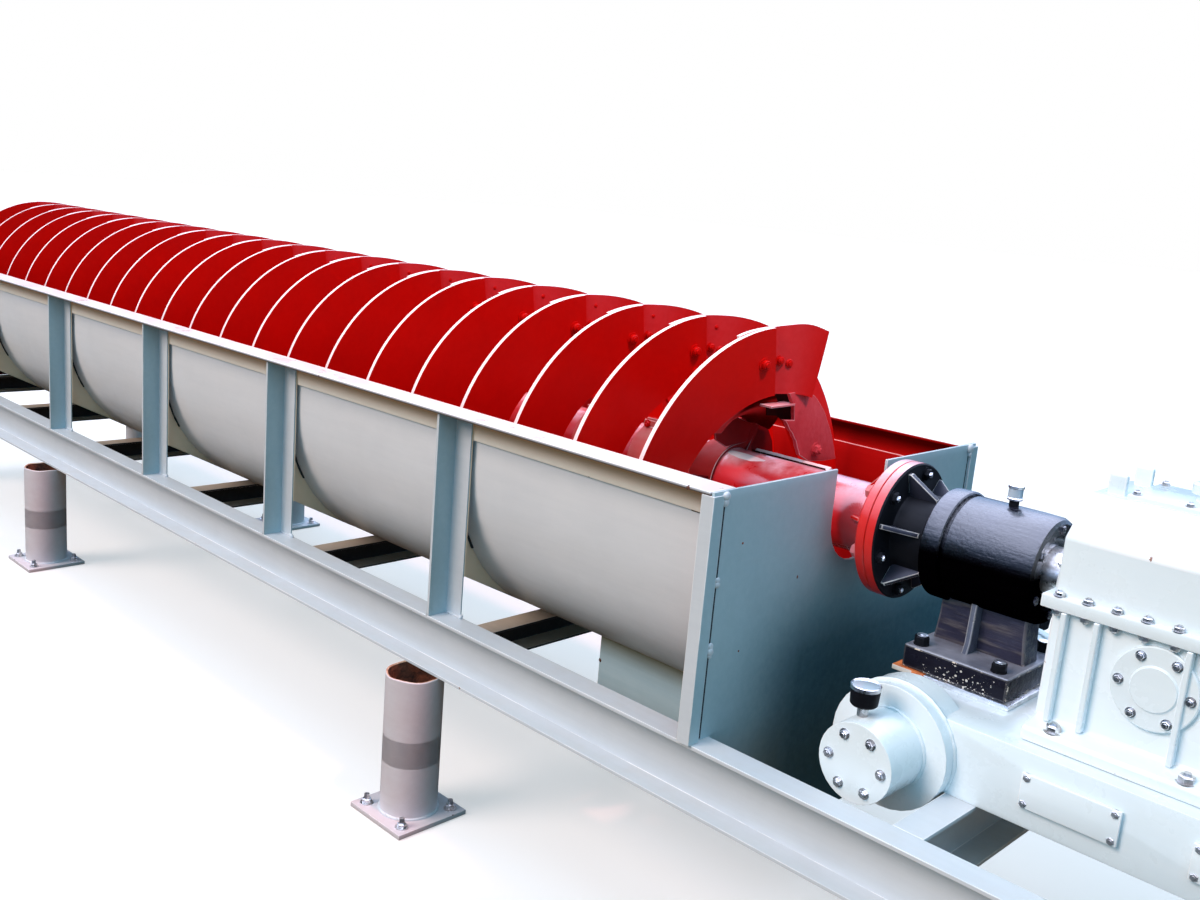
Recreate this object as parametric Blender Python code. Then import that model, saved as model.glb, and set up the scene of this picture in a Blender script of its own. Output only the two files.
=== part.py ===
"""Spiral sand washer: a round-bottomed trough on side beams and pipe legs, a bolted double-start
spiral turning in it, and the bearing, gear unit and motor that drive the spiral.

Metres, +Z up. X runs along the trough towards the drive, -Y is the near side. The origin is on the
ground under the middle of the machine's box.
"""
import math

import bmesh
import bpy
from mathutils import Vector

# Levels above the ground
RIM_Z = 1.000            # top of the rim angles
AXIS_DROP = 0.112        # the spiral's axis below the rim
SHELL_DROP = 0.1385      # the centre of the shell's round bottom below the rim
BEAM_DROP = 0.495        # top of the side beams below the rim

# Across the trough
HALF_WIDTH = 0.498       # outer edge of the rim angles
SHELL_R = 0.4227         # outer radius of the shell
SHELL_T = 0.006
SHELL_LAP = 0.055        # the shell's edge lies this far below the rim
SHELL_STEPS = 24
RIM_LEG = 0.075
RIM_T = 0.007

# Along the trough, measured from the outer face of the drive end plate
BAYS = 6
BAY = 0.750
FIRST_POST = -0.820
TAIL_X = FIRST_POST - (BAYS - 1) * BAY - 0.005
BEAM_TAIL = TAIL_X - 0.090
BEAM_DRIVE = 1.110
MOTOR_END = 1.150
MIDDLE = (BEAM_TAIL + MOTOR_END) / 2

# Side beams, posts and cross members
BEAM_H = 0.140
BEAM_FLANGE = 0.060
BEAM_T = 0.008
BEAM_Y = 0.490           # outer edge of the beam's flanges
POST_LEG = 0.060
POST_T = 0.007
GUSSET_DROP = 0.040      # a post's gusset reaches this far below the top of the beam
CROSS_W = 0.062
CROSS_T = 0.006
CROSS_LEAD = 0.018       # a cross member starts this far towards the tail from its post
DRIVE_CROSS_X = (0.400, 0.940)

# Pipe legs
LEG_Y = 0.505
LEG_R = 0.070
LEG_WALL = 0.006
LEG_STEPS = 24
FOOT = 0.200
FOOT_T = 0.012
LEG_POSTS = (0, 3)       # posts with a leg under them
LEG_BEHIND = 0.012       # a leg stands this far towards the tail from its post
LEG_TAIL = TAIL_X + 0.070
LEG_DRIVE = 0.930

# End plates and corner angles
PLATE_T = 0.006
PLATE_IN = 0.0043        # the plate stands this far behind the corner angle's face
CORNER_LEG = 0.030
CORNER_T = 0.004
SLOT_R = 0.095           # slot for the shaft in the drive end plate
SLOT_STEPS = 12
PIT_HALF = 0.190         # half width of the discharge chute
PIT_LENGTH = 0.533
CHUTE_DROP = 0.800       # the chute's mouth below the rim
CHUTE_T = 0.006

# Spiral
SPIRAL_R = 0.381
LEAD = 0.3893
STARTS = 2
FLIGHT_T = 0.010
FLIGHT_IN = 0.225        # the ribbons stand clear of the shaft, on lugs
FLIGHT_TOP_X = -0.2193   # the last flight crosses the top of the spiral here
FLIGHT_END = 15.0        # degrees past the top where the last flight ends
FLIGHT_TURNS = 10.75
FLIGHT_STEPS = 48        # per turn
LUG_TURNS = (30.0, 45.0)  # degrees past the top, again half a turn on, where a lug reaches the shaft
TUBE_R = 0.076
TUBE_STEPS = 24          # corners every 15 degrees, as a lug has, so lugs and hoops meet face to face
HOOP_R = 0.088
HOOP_W = 0.066
ARM_X = -0.214           # flat arm plate that carries the end of a flight
ARM_R = 0.233
ARM_IN = 0.114
ARM_TURNS = (-30.0, 75.0)
ARM_STEP = 15.0
ARM_FOOT = 0.058         # the arm plate's end is cut level, this far above the axis
BAR_X = (-0.340, -0.140)  # clamp bars along the shaft that hold the arm plates
BAR_T = 0.020
BAR_TURN = 52.5          # degrees past the top, the middle of a step of the arm plate
JOURNAL_R = 0.045

# Coupling and head bearing
FLANGE_R = 0.142
FLANGE_X = 0.081
FLANGE_T = 0.022
HUB_R = 0.084
HUB_END = 0.196
RIB_T = 0.010
RIB_R = 0.132            # a rib's foot on the disc reaches out this far
RIBS = 6
RIB_TURN = 47.0          # degrees from the far side up to the first rib
STUB_R = 0.050
RUNNING = 0.0009         # radial clearance of a shaft in its bore
HOUSING_X = (0.205, 0.430)
HOUSING_R = 0.105
COLLAR_R = 0.111
COLLAR_W = 0.040
BASE_TOP_DROP = 0.300    # top of the bearing's base plate below the rim
BASE_X = (0.208, 0.426)
BASE_HALF = 0.118
BASE_T = 0.047
WEB_X = 0.088            # half lengths of the upright web between the base and the housing
WEB_Y = 0.040
WEB_RIB_X = 0.008        # half lengths of the rib in the middle of the web
WEB_RIB_Y = 0.066
WEB_DROP = 0.075         # the web runs up into the housing to here below the axis
SHIM_T = 0.010
SHIM_OUT = (0.016, 0.010, 0.006)  # the shim sticks out this far at the tail, the drive and the sides
CUP_X = 0.330            # grease cup on top of the housing
CUP_R = 0.015
CUP_H = 0.042

# Drive base, gear unit and motor
BODY_X = (0.222, 1.080)
BODY_HALF = 0.250
BOSS_X = 0.290
BOSS_DROP = 0.440
BOSS_R = 0.119
BOSS_T = 0.030
TRUNNION_R = 0.075
TRUNNION_END = 0.390
OIL_CUP_X = 0.270
OIL_CUP_Y = 0.350
OIL_CUP_R = 0.028
OIL_CUP_H = 0.062
GEAR_X = (0.500, 0.820)
GEAR_HALF = 0.165
GEAR_TOP = 0.185         # above the axis
GEAR_BEVEL = 0.070
GEAR_FOOT = 0.050        # the unit's feet stick out this far
NOSE_R = 0.095
MOTOR_R = 0.125
MOTOR_FLANGE_R = 0.140
COWL_R = 0.118
TERMINALS_X = (0.090, 0.210)  # the terminal box, from the motor's flange
TERMINALS_HALF = 0.055
TERMINALS_Z = (0.090, 0.175)

GAP = 0.0003             # between pieces that touch
SMOOTH = math.radians(35.0)

COLOURS = {
    "frame_paint": ((0.62, 0.66, 0.68), 0.45, 0.0),
    "spiral_paint": ((0.62, 0.015, 0.012), 0.38, 0.0),
    "black_paint": ((0.015, 0.016, 0.022), 0.30, 0.0),
    "drive_paint": ((0.74, 0.79, 0.82), 0.40, 0.0),
    "rusty_steel": ((0.36, 0.13, 0.05), 0.75, 0.3),
    "bright_steel": ((0.62, 0.62, 0.60), 0.35, 0.9),
}


def clear_scene():
    for thing in list(bpy.data.objects):
        bpy.data.objects.remove(thing, do_unlink=True)


def material(slot):
    found = bpy.data.materials.get(slot)
    if found:
        return found
    colour, roughness, metallic = COLOURS[slot]
    made = bpy.data.materials.new(slot)
    made.use_nodes = True
    shader = made.node_tree.nodes["Principled BSDF"]
    shader.inputs["Base Color"].default_value = (*colour, 1.0)
    shader.inputs["Roughness"].default_value = roughness
    shader.inputs["Metallic"].default_value = metallic
    return made


def px(x):
    """Place along the machine, from a distance past the drive end plate."""
    return x - MIDDLE


def pz(drop):
    """Height above the ground, from a depth below the rim."""
    return RIM_Z - drop


def add_prism(bm, outline, place, low, high):
    """A flat outline pushed from low to high; place(u, v, w) gives the point in space."""
    bottom = [bm.verts.new(place(u, v, low)) for u, v in outline]
    top = [bm.verts.new(place(u, v, high)) for u, v in outline]
    count = len(outline)
    bm.faces.new(bottom[::-1])
    bm.faces.new(top)
    for i in range(count):
        j = (i + 1) % count
        bm.faces.new((bottom[i], bottom[j], top[j], top[i]))


def along_x(u, v, w):
    return Vector((w, u, v))


def along_y(u, v, w):
    return Vector((u, w, v))


def along_z(u, v, w):
    return Vector((u, v, w))


def rectangle(u0, u1, v0, v1):
    return [(u0, v0), (u1, v0), (u1, v1), (u0, v1)]


def add_box(bm, x, y, z):
    add_prism(bm, rectangle(x[0], x[1], y[0], y[1]), along_z, z[0], z[1])


def add_turned(bm, profile, steps, place, closed=False):
    """Turn a profile of (distance along, radius) points; an open profile starts and ends on the axis."""
    rings = []
    for distance, radius in profile:
        if radius == 0.0:
            rings.append([bm.verts.new(place(distance, 0.0, 0.0))])
            continue
        ring = []
        for i in range(steps):
            turn = math.tau * i / steps
            ring.append(bm.verts.new(place(distance, radius * math.cos(turn), radius * math.sin(turn))))
        rings.append(ring)
    pairs = list(zip(rings, rings[1:]))
    if closed:
        pairs.append((rings[-1], rings[0]))
    for first, second in pairs:
        for i in range(steps):
            j = (i + 1) % steps
            if len(first) == 1:
                bm.faces.new((first[0], second[j], second[i]))
            elif len(second) == 1:
                bm.faces.new((first[i], first[j], second[0]))
            else:
                bm.faces.new((first[i], first[j], second[j], second[i]))


def axis_place(x, u, v):
    """Points turned about the spiral's axis."""
    return Vector((px(x), u, pz(AXIS_DROP) + v))


def finish_mesh(bm, name, smooth):
    bmesh.ops.recalc_face_normals(bm, faces=bm.faces)
    mesh = bpy.data.meshes.new(name)
    bm.to_mesh(mesh)
    bm.free()
    if smooth:
        mesh.shade_smooth()
        mesh.set_sharp_from_angle(angle=SMOOTH)
    return mesh


def add_object(name, slot, bm, smooth=False):
    """One named solid with its own material."""
    mesh = finish_mesh(bm, name, smooth)
    mesh.materials.append(material(slot))
    thing = bpy.data.objects.new(name, mesh)
    bpy.context.scene.collection.objects.link(thing)
    return thing


def add_tool(bm, name):
    """A solid that only cuts or joins another."""
    thing = bpy.data.objects.new(name, finish_mesh(bm, name, False))
    bpy.context.scene.collection.objects.link(thing)
    thing.hide_render = True
    thing.display_type = "WIRE"
    return thing


def boolean(thing, operation, bm):
    """Cut a solid from thing, or join one to it."""
    tool = add_tool(bm, thing.name + "_tool")
    change = thing.modifiers.new(operation.lower(), "BOOLEAN")
    change.operation = operation
    change.solver = "EXACT"
    change.object = tool
    bpy.context.view_layer.update()
    shaped = bpy.data.meshes.new_from_object(thing.evaluated_get(bpy.context.evaluated_depsgraph_get()))
    thing.modifiers.remove(change)
    thing.data = shaped
    bpy.data.objects.remove(tool, do_unlink=True)


def sides():
    """Near and far side, with the sign of y."""
    return (("near", -1), ("far", 1))


def shell_outline(radius, top):
    """Half round with straight sides, from the near edge to the far edge, as (y, z)."""
    points = [(-radius, pz(top))]
    for i in range(SHELL_STEPS + 1):
        turn = math.pi * i / SHELL_STEPS
        points.append((-radius * math.cos(turn), pz(SHELL_DROP) - radius * math.sin(turn)))
    points.append((radius, pz(top)))
    return points


def make_shell():
    outer = shell_outline(SHELL_R, SHELL_LAP)
    inner = shell_outline(SHELL_R - SHELL_T, SHELL_LAP)
    bm = bmesh.new()
    low = px(TAIL_X + PLATE_IN + PLATE_T + GAP)
    high = px(-PLATE_IN - PLATE_T - GAP)
    add_prism(bm, outer + inner[::-1], along_x, low, high)
    shell = add_object("trough_shell", "frame_paint", bm, smooth=True)
    cut = bmesh.new()
    half = PIT_HALF - CHUTE_T - 0.012
    add_box(cut, (px(-PIT_LENGTH + 0.020), px(-0.040)), (-half, half), (pz(0.600), pz(0.450)))
    boolean(shell, "DIFFERENCE", cut)


def make_rims():
    for side, sign in sides():
        inner = SHELL_R + GAP
        outline = [
            (inner, pz(RIM_LEG)), (inner + RIM_T, pz(RIM_LEG)), (inner + RIM_T, pz(RIM_T)),
            (HALF_WIDTH, pz(RIM_T)), (HALF_WIDTH, pz(0.0)), (inner, pz(0.0)),
        ]
        bm = bmesh.new()
        low = px(TAIL_X + PLATE_IN + PLATE_T + GAP)
        high = px(-PLATE_IN - PLATE_T - GAP)
        add_prism(bm, [(sign * y, z) for y, z in outline], along_x, low, high)
        add_object("rim_angle_" + side, "frame_paint", bm)


def channel_outline(web, flange, depth, thick):
    """A channel's section with its web at u = 0, its flanges towards +u and its top at v = 0."""
    return [
        (web, -depth), (web + flange, -depth), (web + flange, -depth + thick), (web + thick, -depth + thick),
        (web + thick, -thick), (web + flange, -thick), (web + flange, 0.0), (web, 0.0),
    ]


def make_beams():
    web = BEAM_Y - BEAM_FLANGE
    section = channel_outline(web, BEAM_FLANGE, BEAM_H, BEAM_T)
    for side, sign in sides():
        bm = bmesh.new()
        outline = [(sign * u, pz(BEAM_DROP) + v) for u, v in section]
        add_prism(bm, outline, along_x, px(BEAM_TAIL), px(BEAM_DRIVE))
        add_object("side_beam_" + side, "frame_paint", bm)


def post_places():
    return [FIRST_POST - BAY * i for i in range(BAYS - 1)]


def shell_side(radius, low):
    """The far side of the shell's section from its top down to the height low, as (y, z)."""
    points = [(radius, pz(SHELL_DROP))]
    for i in range(1, SHELL_STEPS):
        turn = math.pi * i / SHELL_STEPS
        y, z = radius * math.cos(turn), pz(SHELL_DROP) - radius * math.sin(turn)
        if z <= low:
            last_y, last_z = points[-1]
            share = (last_z - low) / (last_z - z)
            points.append((last_y + (y - last_y) * share, low))
            break
        points.append((y, z))
    return points


def gusset_outline():
    """The plate between a post and the shell, which it follows, as (y, z)."""
    clear = SHELL_R + GAP
    inner = SHELL_R + 2 * GAP + RIM_T
    low = pz(BEAM_DROP + GUSSET_DROP)
    points = [(inner, pz(RIM_LEG + GAP)), (clear, pz(RIM_LEG + GAP))]
    points += shell_side(clear, low)
    web = BEAM_Y - BEAM_FLANGE - GAP
    points.append((web, low))
    points.append((web, pz(BEAM_DROP - GAP)))
    points.append((BEAM_Y, pz(BEAM_DROP - GAP)))
    points.append((BEAM_Y, pz(RIM_T + GAP)))
    points.append((inner, pz(RIM_T + GAP)))
    return points


def make_posts():
    inner = SHELL_R + 2 * GAP + RIM_T
    top = pz(RIM_T + GAP)
    foot = pz(BEAM_DROP - GAP)
    for side, sign in sides():
        for number, x in enumerate(post_places(), start=1):
            bm = bmesh.new()
            outline = [(sign * y, z) for y, z in gusset_outline()]
            add_prism(bm, outline, along_x, px(x), px(x + POST_T))
            post = add_object(f"post_{side}_{number}", "frame_paint", bm)
            leg = bmesh.new()
            flat = sorted((sign * inner, sign * (inner + POST_T)))
            add_box(leg, (px(x), px(x + POST_LEG)), flat, (foot, top))
            boolean(post, "UNION", leg)


def make_cross_members():
    high = pz(SHELL_DROP + SHELL_R + GAP)
    depth = high - pz(BEAM_DROP + BEAM_H)
    half = BEAM_Y - BEAM_FLANGE - GAP
    places = post_places() + [TAIL_X + 0.030]
    for number, x in enumerate(places, start=1):
        low = px(x - CROSS_LEAD)
        outline = [(low + u, high + v) for u, v in channel_outline(0.0, CROSS_W, depth, CROSS_T)]
        bm = bmesh.new()
        add_prism(bm, outline, along_y, -half, half)
        add_object(f"cross_member_{number}", "frame_paint", bm)
    for number, x in enumerate(DRIVE_CROSS_X, start=1):
        outline = [(px(x) + u, pz(BEAM_DROP) + v)
                   for u, v in channel_outline(0.0, BEAM_FLANGE, BEAM_H, BEAM_T)]
        bm = bmesh.new()
        add_prism(bm, outline, along_y, -half, half)
        add_object(f"drive_cross_member_{number}", "frame_paint", bm)


def make_legs():
    top = pz(BEAM_DROP + BEAM_H + GAP)
    places = [FIRST_POST - LEG_BEHIND - BAY * i for i in LEG_POSTS] + [LEG_TAIL, LEG_DRIVE]
    for side, sign in sides():
        for number, x in enumerate(places, start=1):
            centre = (px(x), sign * LEG_Y)

            def upright(z, u, v):
                return Vector((centre[0] + u, centre[1] + v, z))

            profile = [
                (FOOT_T / 2, 0.0), (FOOT_T / 2, LEG_R), (top, LEG_R), (top, LEG_R - LEG_WALL),
                (FOOT_T, LEG_R - LEG_WALL), (FOOT_T, 0.0),
            ]
            bm = bmesh.new()
            add_turned(bm, profile, LEG_STEPS, upright)
            leg = add_object(f"leg_{side}_{number}", "frame_paint", bm, smooth=True)
            plate = bmesh.new()
            half = FOOT / 2
            add_box(plate, (centre[0] - half, centre[0] + half), (centre[1] - half, centre[1] + half),
                    (0.0, FOOT_T))
            boolean(leg, "UNION", plate)


def slot_outline():
    """The drive end plate with its slot for the shaft, as (y, z)."""
    edge = HALF_WIDTH - CORNER_T - GAP
    inside = BEAM_Y - BEAM_FLANGE - GAP
    points = [
        (-SLOT_R, pz(0.0)), (-edge, pz(0.0)), (-edge, pz(BEAM_DROP - GAP)), (-inside, pz(BEAM_DROP - GAP)),
        (-inside, pz(BEAM_DROP + BEAM_H)), (-PIT_HALF, pz(BEAM_DROP + BEAM_H)), (-PIT_HALF, pz(CHUTE_DROP)),
    ]
    points += [(-y, z) for y, z in points[::-1]]
    for i in range(SLOT_STEPS + 1):
        turn = math.pi * i / SLOT_STEPS
        points.append((SLOT_R * math.cos(turn), pz(AXIS_DROP) - SLOT_R * math.sin(turn)))
    return points


def make_end_plates():
    bm = bmesh.new()
    add_prism(bm, slot_outline(), along_x, px(-PLATE_IN - PLATE_T), px(-PLATE_IN))
    add_object("drive_end_plate", "frame_paint", bm)
    edge = HALF_WIDTH - CORNER_T - GAP
    inside = BEAM_Y - BEAM_FLANGE - GAP
    outline = [
        (-edge, pz(0.0)), (-edge, pz(BEAM_DROP - GAP)), (-inside, pz(BEAM_DROP - GAP)),
        (-inside, pz(SHELL_DROP + SHELL_R)), (inside, pz(SHELL_DROP + SHELL_R)),
        (inside, pz(BEAM_DROP - GAP)), (edge, pz(BEAM_DROP - GAP)), (edge, pz(0.0)),
    ]
    bm = bmesh.new()
    add_prism(bm, outline, along_x, px(TAIL_X + PLATE_IN), px(TAIL_X + PLATE_IN + PLATE_T))
    plate = add_object("tail_end_plate", "frame_paint", bm)
    hole = bmesh.new()
    radius = JOURNAL_R + 0.006
    add_turned(hole, [(TAIL_X - 0.02, 0.0), (TAIL_X - 0.02, radius), (TAIL_X + 0.04, radius),
                      (TAIL_X + 0.04, 0.0)], TUBE_STEPS, axis_place)
    boolean(plate, "DIFFERENCE", hole)


def make_corner_angles():
    top = pz(RIM_T + GAP)
    foot = pz(BEAM_DROP - GAP)
    for end, face, inward in (("drive", 0.0, -1), ("tail", TAIL_X, 1)):
        for side, sign in sides():
            outline = [
                (0.0, HALF_WIDTH), (CORNER_LEG, HALF_WIDTH), (CORNER_LEG, HALF_WIDTH - CORNER_T),
                (CORNER_T, HALF_WIDTH - CORNER_T), (CORNER_T, HALF_WIDTH - CORNER_LEG),
                (0.0, HALF_WIDTH - CORNER_LEG),
            ]
            placed = [(px(face + inward * u), sign * v) for u, v in outline]
            bm = bmesh.new()
            add_prism(bm, placed, along_z, foot, top)
            add_object(f"corner_angle_{end}_{side}", "frame_paint", bm)


def make_chute():
    back = -PIT_LENGTH
    front = -PLATE_IN - PLATE_T - GAP
    outline = [
        (back, -PIT_HALF), (front, -PIT_HALF), (front, -PIT_HALF + CHUTE_T),
        (back + CHUTE_T, -PIT_HALF + CHUTE_T), (back + CHUTE_T, PIT_HALF - CHUTE_T),
        (front, PIT_HALF - CHUTE_T), (front, PIT_HALF), (back, PIT_HALF),
    ]
    bm = bmesh.new()
    add_prism(bm, [(px(u), v) for u, v in outline], along_z, pz(CHUTE_DROP), pz(0.500))
    chute = add_object("discharge_chute", "frame_paint", bm)
    cut = bmesh.new()

    def shell_place(x, u, v):
        return Vector((px(x), u, pz(SHELL_DROP) + v))

    radius = SHELL_R + GAP
    add_turned(cut, [(back - 0.1, 0.0), (back - 0.1, radius), (front + 0.1, radius), (front + 0.1, 0.0)],
               2 * SHELL_STEPS, shell_place)
    boolean(chute, "DIFFERENCE", cut)


def hoop_places():
    """The shaft has a hoop under each pair of lugs, two to a turn of the spiral."""
    lug = 180.0 - sum(LUG_TURNS) / 2
    first = FLIGHT_TOP_X - LEAD * lug / 360.0
    count = int(FLIGHT_TURNS * 2)
    return [first - LEAD / 2 * i for i in range(count)]


def make_shaft():
    tail = TAIL_X + 0.045
    journal = TAIL_X - 0.030
    profile = [(FLANGE_X - GAP, 0.0), (FLANGE_X - GAP, TUBE_R)]
    for x in hoop_places():
        profile += [(x + HOOP_W / 2, TUBE_R), (x + HOOP_W / 2, HOOP_R),
                    (x - HOOP_W / 2, HOOP_R), (x - HOOP_W / 2, TUBE_R)]
    profile += [(tail, TUBE_R), (tail, JOURNAL_R), (journal, JOURNAL_R), (journal, 0.0)]
    bm = bmesh.new()
    add_turned(bm, profile, TUBE_STEPS, axis_place)
    shaft = add_object("screw_shaft", "spiral_paint", bm, smooth=True)
    reach = ARM_IN * math.cos(math.radians(ARM_STEP / 2)) - GAP
    across, up = math.sin(math.radians(BAR_TURN)), math.cos(math.radians(BAR_TURN))

    def bar_place(u, v, w):
        return axis_place(w, u * across - v * up, u * up + v * across)

    bars = bmesh.new()
    add_prism(bars, rectangle(-reach, reach, -BAR_T / 2, BAR_T / 2), bar_place, BAR_X[0], BAR_X[1])
    boolean(shaft, "UNION", bars)


def flight_inner(angle):
    """Inner radius of a flight at an angle in degrees past the top."""
    low, high = LUG_TURNS
    if low - 0.01 <= angle % 180.0 <= high + 0.01:
        return HOOP_R + GAP
    return FLIGHT_IN


def arm_outline(turned):
    """A flat ring sector beside the end of a flight, with its end cut level, as (y, z) from the axis."""
    low, high = ARM_TURNS
    steps = round((high - low) / ARM_STEP)
    points = []
    for i in range(steps + 1):
        turn = math.radians(low + ARM_STEP * i)
        points.append((ARM_R * math.sin(turn), ARM_R * math.cos(turn)))
    points.append((math.sqrt(ARM_IN ** 2 - ARM_FOOT ** 2), ARM_FOOT))
    for i in range(1, steps):
        turn = math.radians(high - ARM_STEP * (i + 1))
        points.append((ARM_IN * math.sin(turn), ARM_IN * math.cos(turn)))
    across, up = math.sin(turned), math.cos(turned)
    return [(y * up + z * across, z * up - y * across) for y, z in points]


def make_flights():
    """Each start is a ribbon wound round the shaft; the second is turned half way round."""
    step = 360.0 / FLIGHT_STEPS
    for number in range(STARTS):
        turned = math.pi * number
        angles = [FLIGHT_END - step * i for i in range(int(FLIGHT_TURNS * FLIGHT_STEPS) + 1)][::-1]
        bm = bmesh.new()
        rings = []
        for angle in angles:
            inner = flight_inner(angle)
            x = FLIGHT_TOP_X + LEAD * angle / 360.0
            turn = math.radians(angle) + turned
            across, up = math.sin(turn), math.cos(turn)
            ring = [(-FLIGHT_T / 2, inner), (-FLIGHT_T / 2, SPIRAL_R), (FLIGHT_T / 2, SPIRAL_R),
                    (FLIGHT_T / 2, inner)]
            rings.append([bm.verts.new(axis_place(x + dx, r * across, r * up)) for dx, r in ring])
        for first, second in zip(rings, rings[1:]):
            for a in range(4):
                b = (a + 1) % 4
                bm.faces.new((first[a], first[b], second[b], second[a]))
        bm.faces.new(rings[0][::-1])
        bm.faces.new(rings[-1])
        flight = add_object("flight_" + "ab"[number], "spiral_paint", bm, smooth=True)
        arm = bmesh.new()
        outline = [(y, pz(AXIS_DROP) + z) for y, z in arm_outline(turned)]
        add_prism(arm, outline, along_x, px(ARM_X - FLIGHT_T / 2), px(ARM_X + FLIGHT_T / 2))
        boolean(flight, "UNION", arm)


def make_coupling():
    steps = 32
    bm = bmesh.new()
    add_turned(bm, [(FLANGE_X, 0.0), (FLANGE_X, FLANGE_R), (FLANGE_X + FLANGE_T, FLANGE_R),
                    (FLANGE_X + FLANGE_T, 0.0)], steps, axis_place)
    add_object("tube_flange", "spiral_paint", bm, smooth=True)
    back = FLANGE_X + FLANGE_T + GAP
    face = back + FLANGE_T
    bm = bmesh.new()
    end = GEAR_X[0] + 0.030
    add_turned(bm, [(back, 0.0), (back, FLANGE_R), (face, FLANGE_R), (face, HUB_R), (HUB_END, HUB_R),
                    (HUB_END, STUB_R), (end, STUB_R), (end, 0.0)], steps, axis_place)
    coupling = add_object("coupling_flange", "black_paint", bm, smooth=True)
    for i in range(RIBS):
        turn = math.radians(RIB_TURN) + math.tau * i / RIBS
        across, up = math.cos(turn), math.sin(turn)
        rib = bmesh.new()
        outline = [(face - 0.004, HUB_R - 0.010), (face - 0.004, RIB_R),
                   (face + 0.006, RIB_R), (HUB_END - 0.006, HUB_R + 0.004),
                   (HUB_END - 0.006, HUB_R - 0.010)]

        def rib_place(u, v, w):
            return axis_place(u, v * across - w * up, v * up + w * across)

        add_prism(rib, outline, rib_place, -RIB_T / 2, RIB_T / 2)
        boolean(coupling, "UNION", rib)


def make_bearing():
    bore = STUB_R + RUNNING
    x0, x1 = HOUSING_X
    bm = bmesh.new()
    collar = x0 + COLLAR_W
    add_turned(bm, [(x0, bore), (x0, COLLAR_R), (collar, COLLAR_R), (collar, HOUSING_R), (x1, HOUSING_R),
                    (x1, bore)], 32, axis_place, closed=True)
    housing = add_object("bearing_housing", "black_paint", bm, smooth=True)
    middle = (BASE_X[0] + BASE_X[1]) / 2
    top = pz(AXIS_DROP + WEB_DROP)
    bottom = pz(BASE_TOP_DROP)
    web = bmesh.new()
    add_box(web, (px(middle - WEB_X), px(middle + WEB_X)), (-WEB_Y, WEB_Y), (bottom - 0.010, top))
    boolean(housing, "UNION", web)
    rib = bmesh.new()
    add_box(rib, (px(middle - WEB_RIB_X), px(middle + WEB_RIB_X)), (-WEB_RIB_Y, WEB_RIB_Y),
            (bottom - 0.012, top - 0.003))
    boolean(housing, "UNION", rib)
    base = bmesh.new()
    add_box(base, (px(BASE_X[0]), px(BASE_X[1])), (-BASE_HALF, BASE_HALF), (bottom - BASE_T, bottom))
    boolean(housing, "UNION", base)
    bm = bmesh.new()
    low = bottom - BASE_T - GAP - SHIM_T
    tailward, driveward, sideways = SHIM_OUT
    add_box(bm, (px(BASE_X[0] - tailward), px(BASE_X[1] + driveward)),
            (-BASE_HALF - sideways, BASE_HALF + sideways), (low, low + SHIM_T))
    add_object("bearing_shim", "rusty_steel", bm)

    def cup_place(z, u, v):
        return Vector((px(CUP_X) + u, v, z))

    seat = pz(AXIS_DROP) + HOUSING_R + GAP
    bm = bmesh.new()
    neck = CUP_R - 0.004
    add_turned(bm, [(seat, 0.0), (seat, neck), (seat + 0.012, neck), (seat + 0.012, CUP_R),
                    (seat + CUP_H - 0.004, CUP_R), (seat + CUP_H, CUP_R - 0.005), (seat + CUP_H, 0.0)],
               16, cup_place)
    add_object("grease_cup", "bright_steel", bm, smooth=True)


def make_drive_base():
    top = pz(BASE_TOP_DROP + BASE_T + SHIM_T + 2 * GAP)
    bottom = pz(BEAM_DROP) + GAP
    bm = bmesh.new()
    add_box(bm, (px(BODY_X[0]), px(BODY_X[1])), (-BODY_HALF, BODY_HALF), (bottom, top))
    base = add_object("drive_base", "drive_paint", bm, smooth=True)

    def cross_place(y, u, v):
        return Vector((px(BOSS_X) + u, y, pz(BOSS_DROP) + v))

    for side, sign in sides():
        boss = bmesh.new()
        face = sign * (BODY_HALF + BOSS_T)
        root = sign * (BODY_HALF - 0.060)
        tip = sign * TRUNNION_END
        profile = [(root, 0.0), (root, BOSS_R), (face, BOSS_R), (face, TRUNNION_R), (tip, TRUNNION_R),
                   (tip, 0.0)]
        add_turned(boss, profile, 32, cross_place)
        boolean(base, "UNION", boss)
    for side, sign in sides():
        y = sign * OIL_CUP_Y

        def cup_place(z, u, v):
            return Vector((px(OIL_CUP_X) + u, y + v, z))

        seat = pz(BOSS_DROP) + TRUNNION_R - 0.001
        bm = bmesh.new()
        neck = OIL_CUP_R - 0.018
        add_turned(bm, [(seat, 0.0), (seat, neck), (seat + 0.020, neck), (seat + 0.022, OIL_CUP_R - 0.003),
                        (seat + OIL_CUP_H - 0.008, OIL_CUP_R), (seat + OIL_CUP_H - 0.002, OIL_CUP_R - 0.002),
                        (seat + OIL_CUP_H, 0.0)], 16, cup_place)
        add_object("oil_cup_" + side, "black_paint", bm, smooth=True)


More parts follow.
